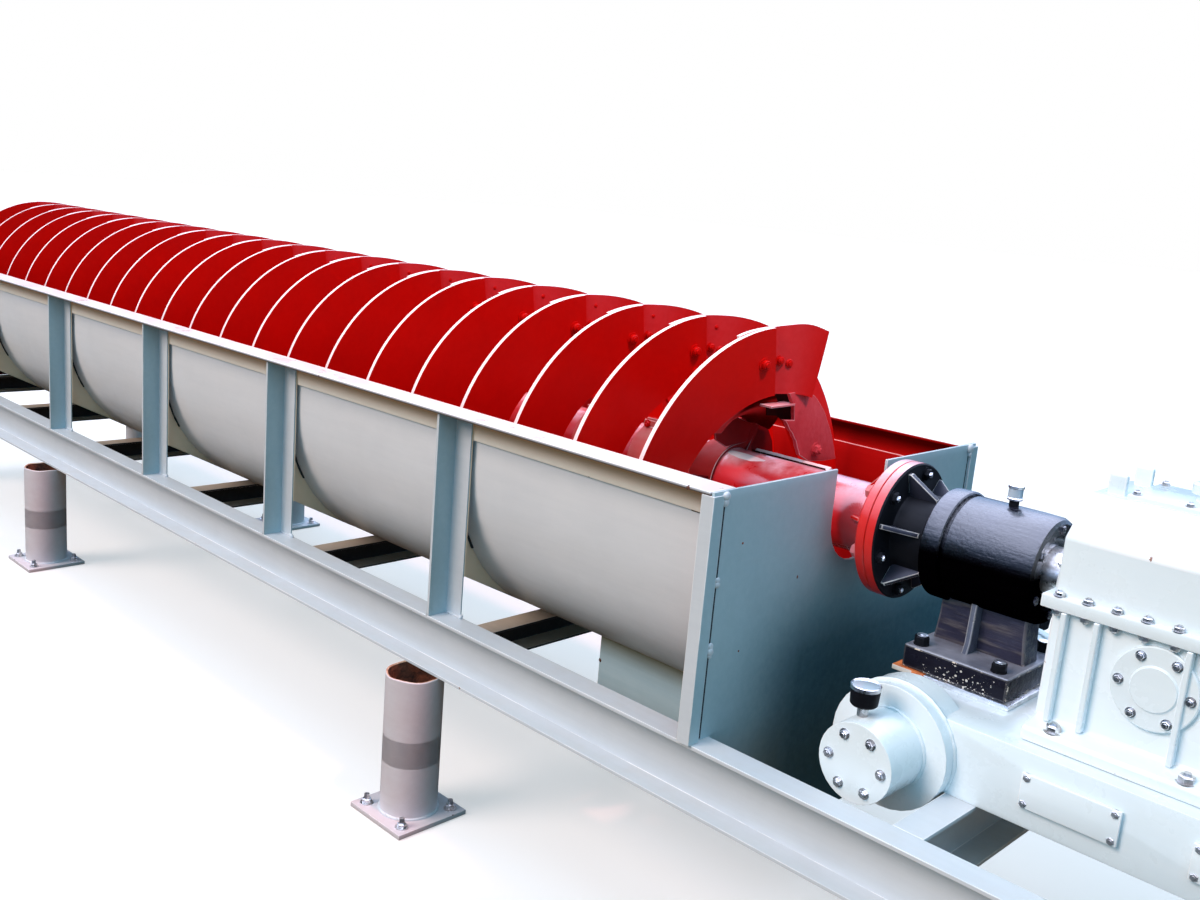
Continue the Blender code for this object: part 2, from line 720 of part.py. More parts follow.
def make_gear_unit():
    floor = pz(BASE_TOP_DROP + BASE_T + SHIM_T + 2 * GAP) + GAP
    x0, x1 = GEAR_X
    high = pz(AXIS_DROP) + GEAR_TOP
    foot = GEAR_HALF + GEAR_FOOT
    bm = bmesh.new()
    add_prism(bm, [
        (-foot, floor), (foot, floor), (foot, floor + 0.025),
        (GEAR_HALF, floor + 0.035), (GEAR_HALF, high - GEAR_BEVEL), (GEAR_HALF - GEAR_BEVEL, high),
        (-GEAR_HALF + GEAR_BEVEL, high), (-GEAR_HALF, high - GEAR_BEVEL), (-GEAR_HALF, floor + 0.035),
        (-foot, floor + 0.025),
    ], along_x, px(x0), px(x1))
    unit = add_object("gear_unit", "drive_paint", bm, smooth=True)
    nose = bmesh.new()
    add_turned(nose, [(x0 - 0.030, 0.0), (x0 - 0.030, NOSE_R), (x0 + 0.020, NOSE_R + 0.015),
                      (x0 + 0.020, 0.0)], 24, axis_place)
    boolean(unit, "UNION", nose)
    bore = bmesh.new()
    radius = STUB_R + RUNNING
    add_turned(bore, [(x0 - 0.060, 0.0), (x0 - 0.060, radius), (x0 + 0.040, radius), (x0 + 0.040, 0.0)],
               32, axis_place)
    boolean(unit, "DIFFERENCE", bore)


def make_motor():
    x0 = GEAR_X[1] + GAP
    bm = bmesh.new()
    add_turned(bm, [(x0, 0.0), (x0, MOTOR_FLANGE_R), (x0 + 0.022, MOTOR_FLANGE_R), (x0 + 0.026, MOTOR_R),
                    (MOTOR_END - 0.075, MOTOR_R), (MOTOR_END - 0.075, COWL_R), (MOTOR_END - 0.015, COWL_R),
                    (MOTOR_END, COWL_R - 0.018), (MOTOR_END, 0.0)], 32, axis_place)
    motor = add_object("motor", "drive_paint", bm, smooth=True)
    terminals = bmesh.new()
    add_box(terminals, (px(x0 + TERMINALS_X[0]), px(x0 + TERMINALS_X[1])), (-TERMINALS_HALF, TERMINALS_HALF),
            (pz(AXIS_DROP) + TERMINALS_Z[0], pz(AXIS_DROP) + TERMINALS_Z[1]))
    boolean(motor, "UNION", terminals)


def make_tail_bearing():
    bore = JOURNAL_R + RUNNING
    face = TAIL_X + PLATE_IN - GAP
    bm = bmesh.new()
    add_turned(bm, [(face - 0.042, 0.0), (face - 0.042, bore), (face, bore), (face, 0.105),
                    (face - 0.018, 0.105), (face - 0.024, 0.075), (face - 0.060, 0.070),
                    (face - 0.066, 0.0)], 24, axis_place)
    add_object("tail_bearing", "black_paint", bm, smooth=True)


def main():
    clear_scene()
    make_shell()
    make_rims()
    make_beams()
    make_posts()
    make_cross_members()
    make_legs()
    make_end_plates()
    make_corner_angles()
    make_chute()
    make_shaft()
    make_flights()
    make_coupling()
    make_bearing()
    make_drive_base()
    make_gear_unit()
    make_motor()
    make_tail_bearing()


main()
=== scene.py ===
import math

import bmesh
import bpy
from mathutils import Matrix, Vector


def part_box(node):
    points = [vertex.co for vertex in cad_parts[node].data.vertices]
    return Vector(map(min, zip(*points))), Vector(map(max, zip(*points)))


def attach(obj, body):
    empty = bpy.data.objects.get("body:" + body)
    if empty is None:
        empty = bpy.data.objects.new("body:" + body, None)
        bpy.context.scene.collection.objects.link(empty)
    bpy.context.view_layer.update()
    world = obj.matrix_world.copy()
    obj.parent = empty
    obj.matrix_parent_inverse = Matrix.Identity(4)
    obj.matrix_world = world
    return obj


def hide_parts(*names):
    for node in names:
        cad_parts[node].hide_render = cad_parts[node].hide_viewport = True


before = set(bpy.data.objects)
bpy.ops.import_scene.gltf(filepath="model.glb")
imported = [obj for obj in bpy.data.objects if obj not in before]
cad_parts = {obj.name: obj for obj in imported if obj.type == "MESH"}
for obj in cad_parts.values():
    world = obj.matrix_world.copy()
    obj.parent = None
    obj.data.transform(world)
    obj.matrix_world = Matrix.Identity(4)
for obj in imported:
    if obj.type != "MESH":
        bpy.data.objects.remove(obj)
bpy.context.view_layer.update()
print("frame loaded:", len(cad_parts), "nodes")

# Places that several pieces share, in metres
machine = {"plateX": 1.7575, "rimZ": 1.0, "spiralZ": 0.888, "shellZ": 0.8615, "shellRadius": 0.4227,
           "tailX": -2.8175}
sides = (("near", -1), ("far", 1))


def alongX(x):
    # x counted from the outer face of the drive end plate
    return x + machine["plateX"]


def spiralPlace(along, u, v):
    return Vector((alongX(along), u, machine["spiralZ"] + v))


def asDrawn(u, v, w):
    return Vector((u, v, w))


def acrossX(u, v, w):
    # an outline in y and z, pulled along x
    return Vector((w, u, v))


def around(count, radius, first=0.0, closed=False):
    # pairs on a circle; first is the share of a step that it starts at
    turns = [math.tau * (k + first) / count for k in range(count + closed)]
    return [(radius * math.cos(turn), radius * math.sin(turn)) for turn in turns]


def steps(start, end, count):
    return [start + (end - start) * k / count for k in range(count + 1)]


def smooth(low, high, value):
    share = min(max((value - low) / (high - low), 0.0), 1.0)
    return share * share * (3.0 - 2.0 * share)


# Small wiring helpers for shader and geometry trees
def wire(tree, kind, inputs=None, **settings):
    # an input takes a value, a colour of three shares, or another node's output
    node = tree.nodes.new(kind)
    for key, value in settings.items():
        setattr(node, key, value)
    for key, value in (inputs or {}).items():
        socket = node.inputs[key]
        if isinstance(value, bpy.types.NodeSocket):
            tree.links.new(value, socket)
        else:
            socket.default_value = (*value, 1.0) if socket.type == "RGBA" else value
    return node


def make(tree, kind, inputs=None, **settings):
    return wire(tree, kind, inputs, **settings).outputs[0]


def calc(tree, operation, *terms):
    return make(tree, "ShaderNodeMath", dict(enumerate(terms)), operation=operation)


def times(tree, total, *terms):
    for term in terms:
        total = calc(tree, "MULTIPLY", total, term)
    return total


def plus(tree, total, *terms):
    for term in terms:
        total = calc(tree, "ADD", total, term)
    return total


def minus(tree, first, second):
    return calc(tree, "SUBTRACT", first, second)


def ease(tree, value, low, high, start=0.0, end=1.0):
    return make(tree, "ShaderNodeMapRange", {"Value": value, "From Min": low, "From Max": high,
                                             "To Min": start, "To Max": end}, interpolation_type="SMOOTHSTEP")


def mixColor(tree, factor, first, second, mode="MIX"):
    return wire(tree, "ShaderNodeMix", {0: factor, 6: first, 7: second}, data_type="RGBA",
                blend_type=mode).outputs[2]


def noise(tree, coords, scale, detail=4.0, roughness=0.55, distortion=0.0):
    return make(tree, "ShaderNodeTexNoise", {"Vector": coords, "Scale": scale, "Detail": detail,
                                             "Roughness": roughness, "Distortion": distortion})


def vectorOf(tree, *terms):
    return make(tree, "ShaderNodeCombineXYZ", dict(enumerate(terms)))


def startGroup(name, kind, inputs, outputs):
    # a socket's kind follows from its value, or is given in words
    kinds = {float: "Float", int: "Int", tuple: "Color"}
    tree = bpy.data.node_groups.new(name, kind)
    for label, value in inputs.items():
        worded = isinstance(value, str)
        kind = value if worded else kinds[type(value)]
        socket = tree.interface.new_socket(name=label, in_out="INPUT", socket_type="NodeSocket" + kind)
        if not worded:
            socket.default_value = (*value, 1.0) if isinstance(value, tuple) else value
    for label, value in outputs.items():
        tree.interface.new_socket(name=label, in_out="OUTPUT", socket_type="NodeSocket" + value)
    return tree, tree.nodes.new("NodeGroupInput").outputs, tree.nodes.new("NodeGroupOutput").inputs


# Paint that has aged: mottled tone, brush lines, dust on what faces up (on some red parts a painted sheen),
# chips and a painted highlight at rounded edges, and painted shade with dirt where marked
def buildAgedPaint():
    tree, given, out = startGroup("agedPaint", "ShaderNodeTree", {
        "Paint": (0.6, 0.6, 0.6), "Shade": (0.4, 0.4, 0.4), "Chip": (0.3, 0.1, 0.05),
        "Dust Sheen": (0.5, 0.45, 0.38), "Worn Glint": 0.0, "Edge Glint": 0.3, "Fresh": 0.0, "Shadedirt": 0.0,
        "Shadedirt Tint": (0.10, 0.06, 0.045), "Brushed": 0.0,
        "Mottle": 0.5, "Chips": 0.2, "Dust Sheen Amount": 0.2, "Gloss": 0.35, "Grain": 60.0,
    }, {"Color": "Color", "Roughness": "Float", "Height": "Float", "Bare": "Float"})
    coords = wire(tree, "ShaderNodeTexCoord").outputs["Object"]
    broad = noise(tree, coords, 1.7, 5.0, 0.6)
    patch = noise(tree, coords, 8.0, 8.0, 0.62)
    fine = noise(tree, coords, given["Grain"], 3.0, 0.5)
    stretched = make(tree, "ShaderNodeMapping", {"Vector": coords, "Scale": (1.2, 14.0, 14.0)})
    strokes = noise(tree, stretched, 5.0, 6.0, 0.6)
    tone = ease(tree, plus(tree, times(tree, broad, 0.55), times(tree, patch, 0.45)), 0.36, 0.64)
    painted = mixColor(tree, times(tree, tone, given["Mottle"]), given["Paint"], given["Shade"])
    painted = mixColor(tree, times(tree, given["Fresh"], 0.5), painted, given["Dust Sheen"])
    # a painted highlight that lightens the rounded edges
    lit = times(tree, given["Worn Glint"], given["Edge Glint"], ease(tree, patch, 0.30, 0.62))
    painted = mixColor(tree, lit, painted, (0.95, 0.95, 0.95))
    brushed = times(tree, ease(tree, strokes, 0.46, 0.66), given["Brushed"])
    painted = mixColor(tree, brushed, painted, given["Dust Sheen"])
    # painted shade and dirt darken the paint where marked
    painted = mixColor(tree, given["Shadedirt"], painted, given["Shadedirt Tint"], "MULTIPLY")
    lifted = make(tree, "ShaderNodeGamma", {"Color": painted,
                                            "Gamma": ease(tree, strokes, 0.25, 0.75, 0.96, 1.05)})
    flakes = noise(tree, coords, 46.0, 9.0, 0.68, 0.4)
    reach = plus(tree, times(tree, given["Chips"], 0.16), times(tree, given["Worn Glint"], 0.16))
    bar = minus(tree, 0.80, reach)
    mixed = plus(tree, times(tree, flakes, 0.7), times(tree, patch, 0.3))
    bare = ease(tree, mixed, bar, plus(tree, bar, 0.02))
    bare = times(tree, bare, calc(tree, "GREATER_THAN", given["Chips"], 0.001))
    facing = wire(tree, "ShaderNodeNewGeometry").outputs["Normal"]
    lying = ease(tree, wire(tree, "ShaderNodeSeparateXYZ", {"Vector": facing}).outputs["Z"], 0.55, 1.0)
    # a film on what faces up: dust, and a painted sheen on the red shaft, discs and shelves
    film = times(tree, ease(tree, patch, 0.35, 0.75), lying, given["Dust Sheen Amount"])
    dusted = mixColor(tree, film, lifted, given["Dust Sheen"])
    rough = plus(tree, given["Gloss"], ease(tree, patch, 0.3, 0.7, -0.05, 0.09), times(tree, bare, 0.35),
                 times(tree, film, 0.4))
    height = plus(tree, times(tree, fine, 0.35), times(tree, strokes, 0.5))
    for label, socket in (("Color", mixColor(tree, bare, dusted, given["Chip"])), ("Roughness", rough),
                          ("Height", minus(tree, height, times(tree, bare, 0.7))), ("Bare", bare)):
        tree.links.new(socket, out[label])
    return tree


# Rust: orange to dark brown blotches with a dry crust
def buildRustCrust():
    tree, given, out = startGroup("rustCrust", "ShaderNodeTree", {
        "Light": (0.62, 0.20, 0.05), "Dark": (0.10, 0.035, 0.018), "Scale": 30.0,
    }, {"Color": "Color", "Roughness": "Float", "Height": "Float"})
    coords = wire(tree, "ShaderNodeTexCoord").outputs["Object"]
    blotch = noise(tree, coords, given["Scale"], 9.0, 0.7, 0.3)
    speck = noise(tree, coords, times(tree, given["Scale"], 5.0), 4.0, 0.6)
    mixed = mixColor(tree, ease(tree, blotch, 0.32, 0.66), given["Dark"], given["Light"])
    for label, socket in (("Color", mixed), ("Roughness", ease(tree, blotch, 0.2, 0.8, 0.95, 0.6)),
                          ("Height", plus(tree, blotch, times(tree, speck, 0.4)))):
        tree.links.new(socket, out[label])
    return tree


agedPaint = buildAgedPaint()
rustCrust = buildRustCrust()


def startMaterial(name):
    material = bpy.data.materials.new(name)
    material.use_nodes = True
    tree = material.node_tree
    return material, tree, tree.nodes["Principled BSDF"]


def feedShader(tree, shader, color, roughness, height, strength, depth):
    raised = make(tree, "ShaderNodeBump", {"Height": height, "Strength": strength, "Distance": depth})
    for label, socket in (("Base Color", color), ("Roughness", roughness), ("Normal", raised)):
        tree.links.new(socket, shader.inputs[label])


def paintMaterial(name, look, coat, strength, depth, specular):
    material, tree, shader = startMaterial(name)
    group = wire(tree, "ShaderNodeGroup", look, node_tree=agedPaint)
    for label in ("Worn Glint", "Fresh", "Shadedirt"):
        mark = wire(tree, "ShaderNodeAttribute", attribute_name=label.lower()).outputs["Fac"]
        tree.links.new(mark, group.inputs[label])
    feedShader(tree, shader, *group.outputs[:3], strength, depth)
    # the last mark, painted shade and dirt, also dulls the gloss
    unmarked = minus(tree, 1.0, mark)
    if coat:
        tree.links.new(times(tree, unmarked, coat), shader.inputs["Coat Weight"])
    tree.links.new(times(tree, unmarked, specular), shader.inputs["Specular IOR Level"])
    shader.inputs["Coat Roughness"].default_value = 0.15
    return material


# Each paint's own, shade, chip and dust-and-sheen colours; then mottle, chips, dust and sheen, gloss, grain
# and the painted highlight at rounded edges
paintLabels = ("Paint", "Shade", "Chip", "Dust Sheen", "Mottle", "Chips", "Dust Sheen Amount", "Gloss", "Grain", "Edge Glint")
paints = {
    "frameGrey": ((0.6, 0.65, 0.685), (0.52, 0.565, 0.6), (0.22, 0.1, 0.06), (0.6, 0.56, 0.48),
                  0.5, 0.12, 0.25, 0.34, 90.0, 0.75),
    "shellGrey": ((0.69, 0.725, 0.75), (0.61, 0.645, 0.67), (0.22, 0.1, 0.06), (0.6, 0.56, 0.48),
                  0.5, 0.06, 0.0, 0.34, 90.0, 0.75),
    # a darker, bluer copy of the frame grey for faces along X: painted shade
    "shadedTeal": ((0.38, 0.53, 0.58), (0.33, 0.475, 0.525), (0.16, 0.1, 0.08), (0.6, 0.6, 0.56),
                  0.5, 0.05, 0.0, 0.38, 90.0, 0.9),
    # the gussets' faces painted warm and light: painted light
    "gussetLit": ((0.97, 0.8, 0.58), (0.9, 0.73, 0.52), (0.22, 0.1, 0.06), (0.6, 0.56, 0.48),
                   0.6, 0.08, 0.0, 0.4, 80.0, 0.5),
    # tan tops of the cross members, darkened as painted shade under the trough
    "shelfShadedTan": ((0.5, 0.43, 0.35), (0.43, 0.36, 0.28), (0.16, 0.09, 0.06), (0.55, 0.48, 0.4),
                 0.8, 0.2, 0.2, 0.5, 80.0, 0.4),
    "armRed": ((0.6, 0.06, 0.072), (0.52, 0.036, 0.044), (0.62, 0.22, 0.22), (0.6, 0.22, 0.24),
               0.8, 0.1, 0.2, 0.55, 60.0, 0.3),
    # pale pink for the shelf and the heads behind the disc: a painted highlight
    "shelfLitPink": ((0.66, 0.24, 0.26), (0.6, 0.11, 0.12), (0.85, 0.72, 0.72), (0.92, 0.62, 0.64),
                  0.8, 0.2, 0.8, 0.45, 80.0, 0.8),
    # near black for the hollow and the back clamp bar: painted shade
    "sootBlack": ((0.02, 0.004, 0.003), (0.05, 0.01, 0.008), (0.14, 0.05, 0.04), (0.1, 0.05, 0.04),
                  0.8, 0.0, 0.0, 0.6, 70.0, 0.0),
    # dark red for the backing behind the arm plates: painted shade
    "hollowRed": ((0.17, 0.003, 0.004), (0.09, 0.002, 0.003), (0.3, 0.08, 0.08), (0.3, 0.1, 0.1),
                  0.9, 0.05, 0.0, 0.55, 60.0, 0.0),
    # pale grey-white patch on the shaft: a painted reflection
    "reflectionPatch": ((0.74, 0.78, 0.84), (0.64, 0.62, 0.7), (0.5, 0.1, 0.1), (0.8, 0.8, 0.84),
                  0.8, 0.3, 0.5, 0.3, 60.0, 0.3),
    "insideRed": ((0.44, 0.004, 0.003), (0.33, 0.002, 0.002), (0.75, 0.35, 0.3), (0.62, 0.3, 0.27),
                  0.6, 0.14, 0.1, 0.42, 80.0, 0.3),
    "spiralRed": ((0.66, 0.004, 0.002), (0.5, 0.002, 0.001), (0.8, 0.3, 0.26), (0.76, 0.06, 0.07),
                  0.55, 0.06, 0.0, 0.4, 70.0, 0.35),
    # its pink film on what faces up is a painted sheen
    "shaftRed": ((0.5, 0.016, 0.022), (0.42, 0.006, 0.009), (0.62, 0.5, 0.5), (0.94, 0.72, 0.82),
                 0.6, 0.16, 1.0, 0.28, 50.0, 0.3),
    "hoopPaint": ((0.56, 0.075, 0.08), (0.44, 0.2, 0.17), (0.66, 0.56, 0.48), (0.66, 0.5, 0.44),
                  0.9, 0.2, 0.3, 0.4, 80.0, 0.6),
    # darker hoop paint: soot and painted shade
    "sootShadeRed": ((0.3, 0.012, 0.012), (0.11, 0.01, 0.008), (0.5, 0.22, 0.2), (0.6, 0.22, 0.24),
                0.9, 0.14, 0.5, 0.42, 80.0, 0.45),
    # its pink film on what faces up is a painted sheen
    "discRed": ((0.68, 0.018, 0.01), (0.6, 0.01, 0.007), (0.7, 0.2, 0.18), (0.98, 0.74, 0.78),
                0.5, 0.1, 1.0, 0.34, 70.0, 0.2),
    "underShade": ((0.035, 0.038, 0.042), (0.02, 0.021, 0.024), (0.1, 0.06, 0.04), (0.14, 0.13, 0.12),
                   0.6, 0.2, 0.2, 0.6, 60.0, 0.1),
    "chuteGrey": ((0.34, 0.5, 0.57), (0.29, 0.44, 0.51), (0.16, 0.1, 0.06), (0.4, 0.34, 0.26),
                  0.7, 0.14, 0.1, 0.5, 70.0, 0.7),
    "cupGlass": ((0.55, 0.66, 0.76), (0.36, 0.46, 0.58), (0.9, 0.9, 0.9), (0.8, 0.8, 0.8),
                 0.8, 0.2, 0.1, 0.12, 40.0, 0.5),
    # pale pink: a painted highlight on the shell's top edge, and pale spatter
    "ledgePink": ((0.95, 0.62, 0.62), (0.8, 0.16, 0.16), (0.9, 0.8, 0.8), (0.8, 0.6, 0.6),
                  0.9, 0.3, 0.0, 0.4, 80.0, 0.3),
    # near white tops of the rim flanges: a painted highlight
    "rimTopLit": ((0.94, 0.94, 0.94), (0.86, 0.87, 0.87), (0.5, 0.42, 0.36), (0.9, 0.88, 0.82),
                0.5, 0.12, 0.1, 0.3, 90.0, 0.3),
    "rimShade": ((0.97, 0.92, 0.82), (0.92, 0.87, 0.77), (0.16, 0.12, 0.09), (0.5, 0.44, 0.36),
                 0.8, 0.1, 0.0, 0.5, 70.0, 0.2),
    # dark strip: a painted shadow line under the rim leg
    "seamShadow": ((0.16, 0.13, 0.1), (0.09, 0.075, 0.06), (0.3, 0.25, 0.2), (0.3, 0.26, 0.2),
                  0.9, 0.1, 0.0, 0.6, 90.0, 0.3),
    # pale pink flight rims and front clamp bars: bare edges and a painted highlight
    "rimPink": ((0.98, 0.88, 0.88), (0.95, 0.6, 0.6), (0.8, 0.16, 0.14), (0.9, 0.8, 0.8),
                0.55, 0.35, 0.0, 0.3, 110.0, 0.3),
    "couplingBlack": ((0.004, 0.004, 0.005), (0.009, 0.01, 0.014), (0.45, 0.45, 0.48), (0.1, 0.1, 0.11),
                      0.6, 0.08, 0.0, 0.5, 70.0, 0.06),
    "ribBlack": ((0.018, 0.02, 0.034), (0.032, 0.036, 0.058), (0.7, 0.7, 0.74), (0.1, 0.1, 0.13),
                 0.8, 0.08, 0.5, 0.4, 60.0, 0.85),
    "bearingNavy": ((0.003, 0.003, 0.008), (0.006, 0.006, 0.015), (0.78, 0.62, 0.46), (0.13, 0.14, 0.21),
                    0.7, 0.05, 0.35, 0.22, 120.0, 0.1),
    "bearingWeb": ((0.04, 0.036, 0.07), (0.014, 0.013, 0.028), (0.4, 0.34, 0.34), (0.13, 0.115, 0.115),
                   0.9, 0.06, 0.2, 0.4, 45.0, 0.1),
    "baseChipped": ((0.006, 0.006, 0.012), (0.012, 0.011, 0.019), (0.74, 0.64, 0.52), (0.24, 0.25, 0.3),
                    0.8, 0.55, 0.2, 0.26, 45.0, 0.1),
    # the top of the bearing's base plate: dust and a painted reflection
    "baseTopSheen": ((0.12, 0.135, 0.18), (0.07, 0.08, 0.115), (0.55, 0.56, 0.58), (0.34, 0.36, 0.42),
                  0.9, 0.3, 0.7, 0.35, 60.0, 0.2),
    "creamPaint": ((0.66, 0.64, 0.58), (0.5, 0.47, 0.42), (0.3, 0.12, 0.06), (0.6, 0.5, 0.4),
                   0.8, 0.25, 0.0, 0.4, 80.0, 0.5),
    "drivePale": ((0.8, 0.9, 0.93), (0.72, 0.82, 0.87), (0.26, 0.12, 0.07), (0.6, 0.58, 0.52),
                  0.45, 0.14, 0.2, 0.26, 60.0, 0.6),
    "pipeGrey": ((0.6, 0.62, 0.66), (0.52, 0.42, 0.42), (0.1, 0.035, 0.03), (0.5, 0.42, 0.36),
                 0.45, 0.34, 0.0, 0.4, 60.0, 0.3),
}
# Tints of the painted shade and dirt
shadeDirtTints = {"shellGrey": (0.40, 0.30, 0.19), "shadedTeal": (0.07, 0.16, 0.20),
              "chuteGrey": (0.52, 0.33, 0.17), "rimShade": (0.92, 0.42, 0.14)}
brushed = {"bearingWeb": 0.9}
# Clear gloss over the paint, and none where nothing is listed
gloss = {"shaftRed": 1.0, "discRed": 0.8, "bearingNavy": 1.0, "bearingWeb": 0.2, "cupGlass": 1.0,
         "drivePale": 0.5, "baseTopSheen": 0.5, "frameGrey": 0.15, "rimTopLit": 0.4, "reflectionPatch": 0.6}
# Bump strength and depth where the paint lies thick
thick = {"bearingNavy": (1.0, 0.006), "bearingWeb": (1.0, 0.007), "baseChipped": (0.9, 0.003),
         "armRed": (0.8, 0.003), "baseTopSheen": (0.9, 0.003), "couplingBlack": (0.4, 0.002),
         "pipeGrey": (0.4, 0.002), "shaftRed": (0.35, 0.002)}
# How much the paint itself shines
shine = {"spiralRed": 0.18, "insideRed": 0.15, "discRed": 0.35, "couplingBlack": 0.12, "ribBlack": 0.35,
         "sootShadeRed": 0.15, "hoopPaint": 0.25, "armRed": 0.2, "sootBlack": 0.03, "hollowRed": 0.1,
         "baseChipped": 0.12, "seamShadow": 0.2, "underShade": 0.2, "shaftRed": 0.8}
skins = {}
for name, row in paints.items():
    look = dict(zip(paintLabels, row))
    if name in shadeDirtTints:
        look["Shadedirt Tint"] = shadeDirtTints[name]
    look["Brushed"] = brushed.get(name, 0.0)
    skins[name] = paintMaterial(name, look, gloss.get(name, 0.0), *thick.get(name, (0.25, 0.0012)),
                                shine.get(name, 0.5))


def rustMaterial(name, light, dark, scale):
    material, tree, shader = startMaterial(name)
    group = wire(tree, "ShaderNodeGroup", {"Light": light, "Dark": dark, "Scale": scale}, node_tree=rustCrust)
    feedShader(tree, shader, *group.outputs[:3], 0.6, 0.001)
    return material


def metalMaterial(name, color, dull, grain):
    material, tree, shader = startMaterial(name)
    wear = noise(tree, wire(tree, "ShaderNodeTexCoord").outputs["Object"], grain, 7.0, 0.65)
    feedShader(tree, shader, mixColor(tree, ease(tree, wear, 0.35, 0.7), color, dull),
               ease(tree, wear, 0.3, 0.7, 0.22, 0.5), wear, 0.3, 0.0006)
    shader.inputs["Metallic"].default_value = 1.0
    return material


for name, light, dark, scale in (("rust", (0.80, 0.24, 0.07), (0.30, 0.09, 0.035), 26.0),
                                 ("darkRust", (0.30, 0.10, 0.05), (0.035, 0.018, 0.014), 34.0),
                                 ("rimRust", (0.84, 0.66, 0.48), (0.36, 0.13, 0.06), 40.0)):
    skins[name] = rustMaterial(name, light, dark, scale)
skins["steel"] = metalMaterial("steel", (0.74, 0.73, 0.71), (0.38, 0.34, 0.30), 60.0)
skins["zinc"] = metalMaterial("zinc", (0.92, 0.92, 0.93), (0.70, 0.69, 0.68), 45.0)
print("materials made:", len(skins))

# The body that a piece rides on and the slot of its paint
groups = {"spiral": ("screw", "spiral_paint"), "hub": ("screw", "black_paint"),
          "frame": ("frame", "frame_paint"), "black": ("frame", "black_paint"),
          "drive": ("frame", "drive_paint"), "shim": ("frame", "rusty_steel"),
          "cup": ("frame", "bright_steel")}


# Making meshes
def toMesh(name, bm):
    mesh = bpy.data.meshes.new(name)
    bm.to_mesh(mesh)
    bm.free()
    return mesh


def finishPiece(name, mesh, skinNames, group, replaced=(), sharp=27.0):
    if mesh.materials:
        mesh.materials.clear()
    for skinName in skinNames:
        mesh.materials.append(skins[skinName])
    mesh.polygons.foreach_set("use_smooth", [True] * len(mesh.polygons))
    mesh.set_sharp_from_angle(angle=math.radians(sharp))
    piece = bpy.data.objects.new(name, mesh)
    bpy.context.scene.collection.objects.link(piece)
    body, slot = groups[group]
    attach(piece, body)
    if replaced:
        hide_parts(*replaced)
    return piece


def finishMesh(name, bm, skinNames, group, replaced=(), sharp=27.0, recalc=False):
    if recalc:
        bmesh.ops.recalc_face_normals(bm, faces=bm.faces)
    return finishPiece(name, toMesh(name, bm), skinNames, group, replaced, sharp)


def loopMarks(bm, label):
    return bm.loops.layers.float.get(label) or bm.loops.layers.float.new(label)


def bevelEdges(bm, width, segments=2, limit=30.0):
    # rounds every sharp edge and marks the rounding for chips and a painted highlight
    sharp = [e for e in bm.edges if e.is_manifold and e.calc_face_angle(0.0) > math.radians(limit)]
    layer = loopMarks(bm, "worn glint")
    made = bmesh.ops.bevel(bm, geom=sharp, offset=width, segments=segments, profile=0.5, affect="EDGES",
                           clamp_overlap=True, loop_slide=True)
    for face in made["faces"]:
        for loop in face.loops:
            loop[layer] = 1.0


def cadShape(nodeName):
    bm = bmesh.new()
    bm.from_mesh(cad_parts[nodeName].data)
    bmesh.ops.remove_doubles(bm, verts=bm.verts, dist=0.00005)
    bmesh.ops.dissolve_limit(bm, angle_limit=math.radians(0.4), verts=bm.verts, edges=bm.edges)
    return bm


def addBlock(bm, low, high):
    # a box between two corners
    low, high = Vector(low), Vector(high)
    for v in bmesh.ops.create_cube(bm, size=1.0)["verts"]:
        v.co = Vector([low[i] + (v.co[i] + 0.5) * (high[i] - low[i]) for i in range(3)])


def addPrism(bm, outline, place, low, high):
    # an outline of (u, v) points pulled from low to high, where place(u, v, w) gives the point
    bottom = [bm.verts.new(place(u, v, low)) for u, v in outline]
    top = [bm.verts.new(place(u, v, high)) for u, v in outline]
    bm.faces.new(bottom[::-1])
    bm.faces.new(top)
    for a in range(len(outline)):
        b = (a + 1) % len(outline)
        bm.faces.new((bottom[a], bottom[b], top[b], top[a]))


def addTurned(bm, profile, place, count=64):
    # a profile of (along, radius) points spun round; place(along, u, v) gives the point
    rings = [[bm.verts.new(place(along, *pair)) for pair in around(count, radius)] if radius > 1e-6
             else [bm.verts.new(place(along, 0.0, 0.0))] for along, radius in profile]
    for first, second in zip(rings, rings[1:]):
        for i in range(count):
            k = i + 1
            corners = []
            for vert in (first[i % len(first)], first[k % len(first)], second[k % len(second)],
                         second[i % len(second)]):
                if vert not in corners:
                    corners.append(vert)
            if len(corners) > 2:
                bm.faces.new(corners)


def newPrism(outline, place, low, high, bevel=0.0, segments=1, limit=30.0):
    bm = bmesh.new()
    addPrism(bm, outline, place, low, high)
    bmesh.ops.recalc_face_normals(bm, faces=bm.faces)
    if bevel:
        bevelEdges(bm, bevel, segments, limit)
    return bm


def newBlock(low, high, bevel, segments=2, limit=30.0):
    bm = bmesh.new()
    addBlock(bm, low, high)
    bevelEdges(bm, bevel, segments, limit)
    return bm


def addPart(bm, part):
    # moves a finished part into bm
    mesh = toMesh("part", part)
    bm.from_mesh(mesh)
    bpy.data.meshes.remove(mesh)


def addSolid(bm, build, bevel=0.0, segments=2, skin=0):
    # makes one solid on its own, rounds it and adds it
    part = bmesh.new()
    build(part)
    bmesh.ops.recalc_face_normals(part, faces=part.faces)
    if bevel:
        bevelEdges(part, bevel, segments)
    for face in part.faces:
        face.material_index = skin
    addPart(bm, part)


def setShadeDirt(bm, amount):
    # amount(place) says how much painted shade and dirt darken the paint there
    layer = loopMarks(bm, "shadedirt")
    for face in bm.faces:
        for loop in face.loops:
            loop[layer] = min(max(amount(loop.vert.co), 0.0), 1.0)


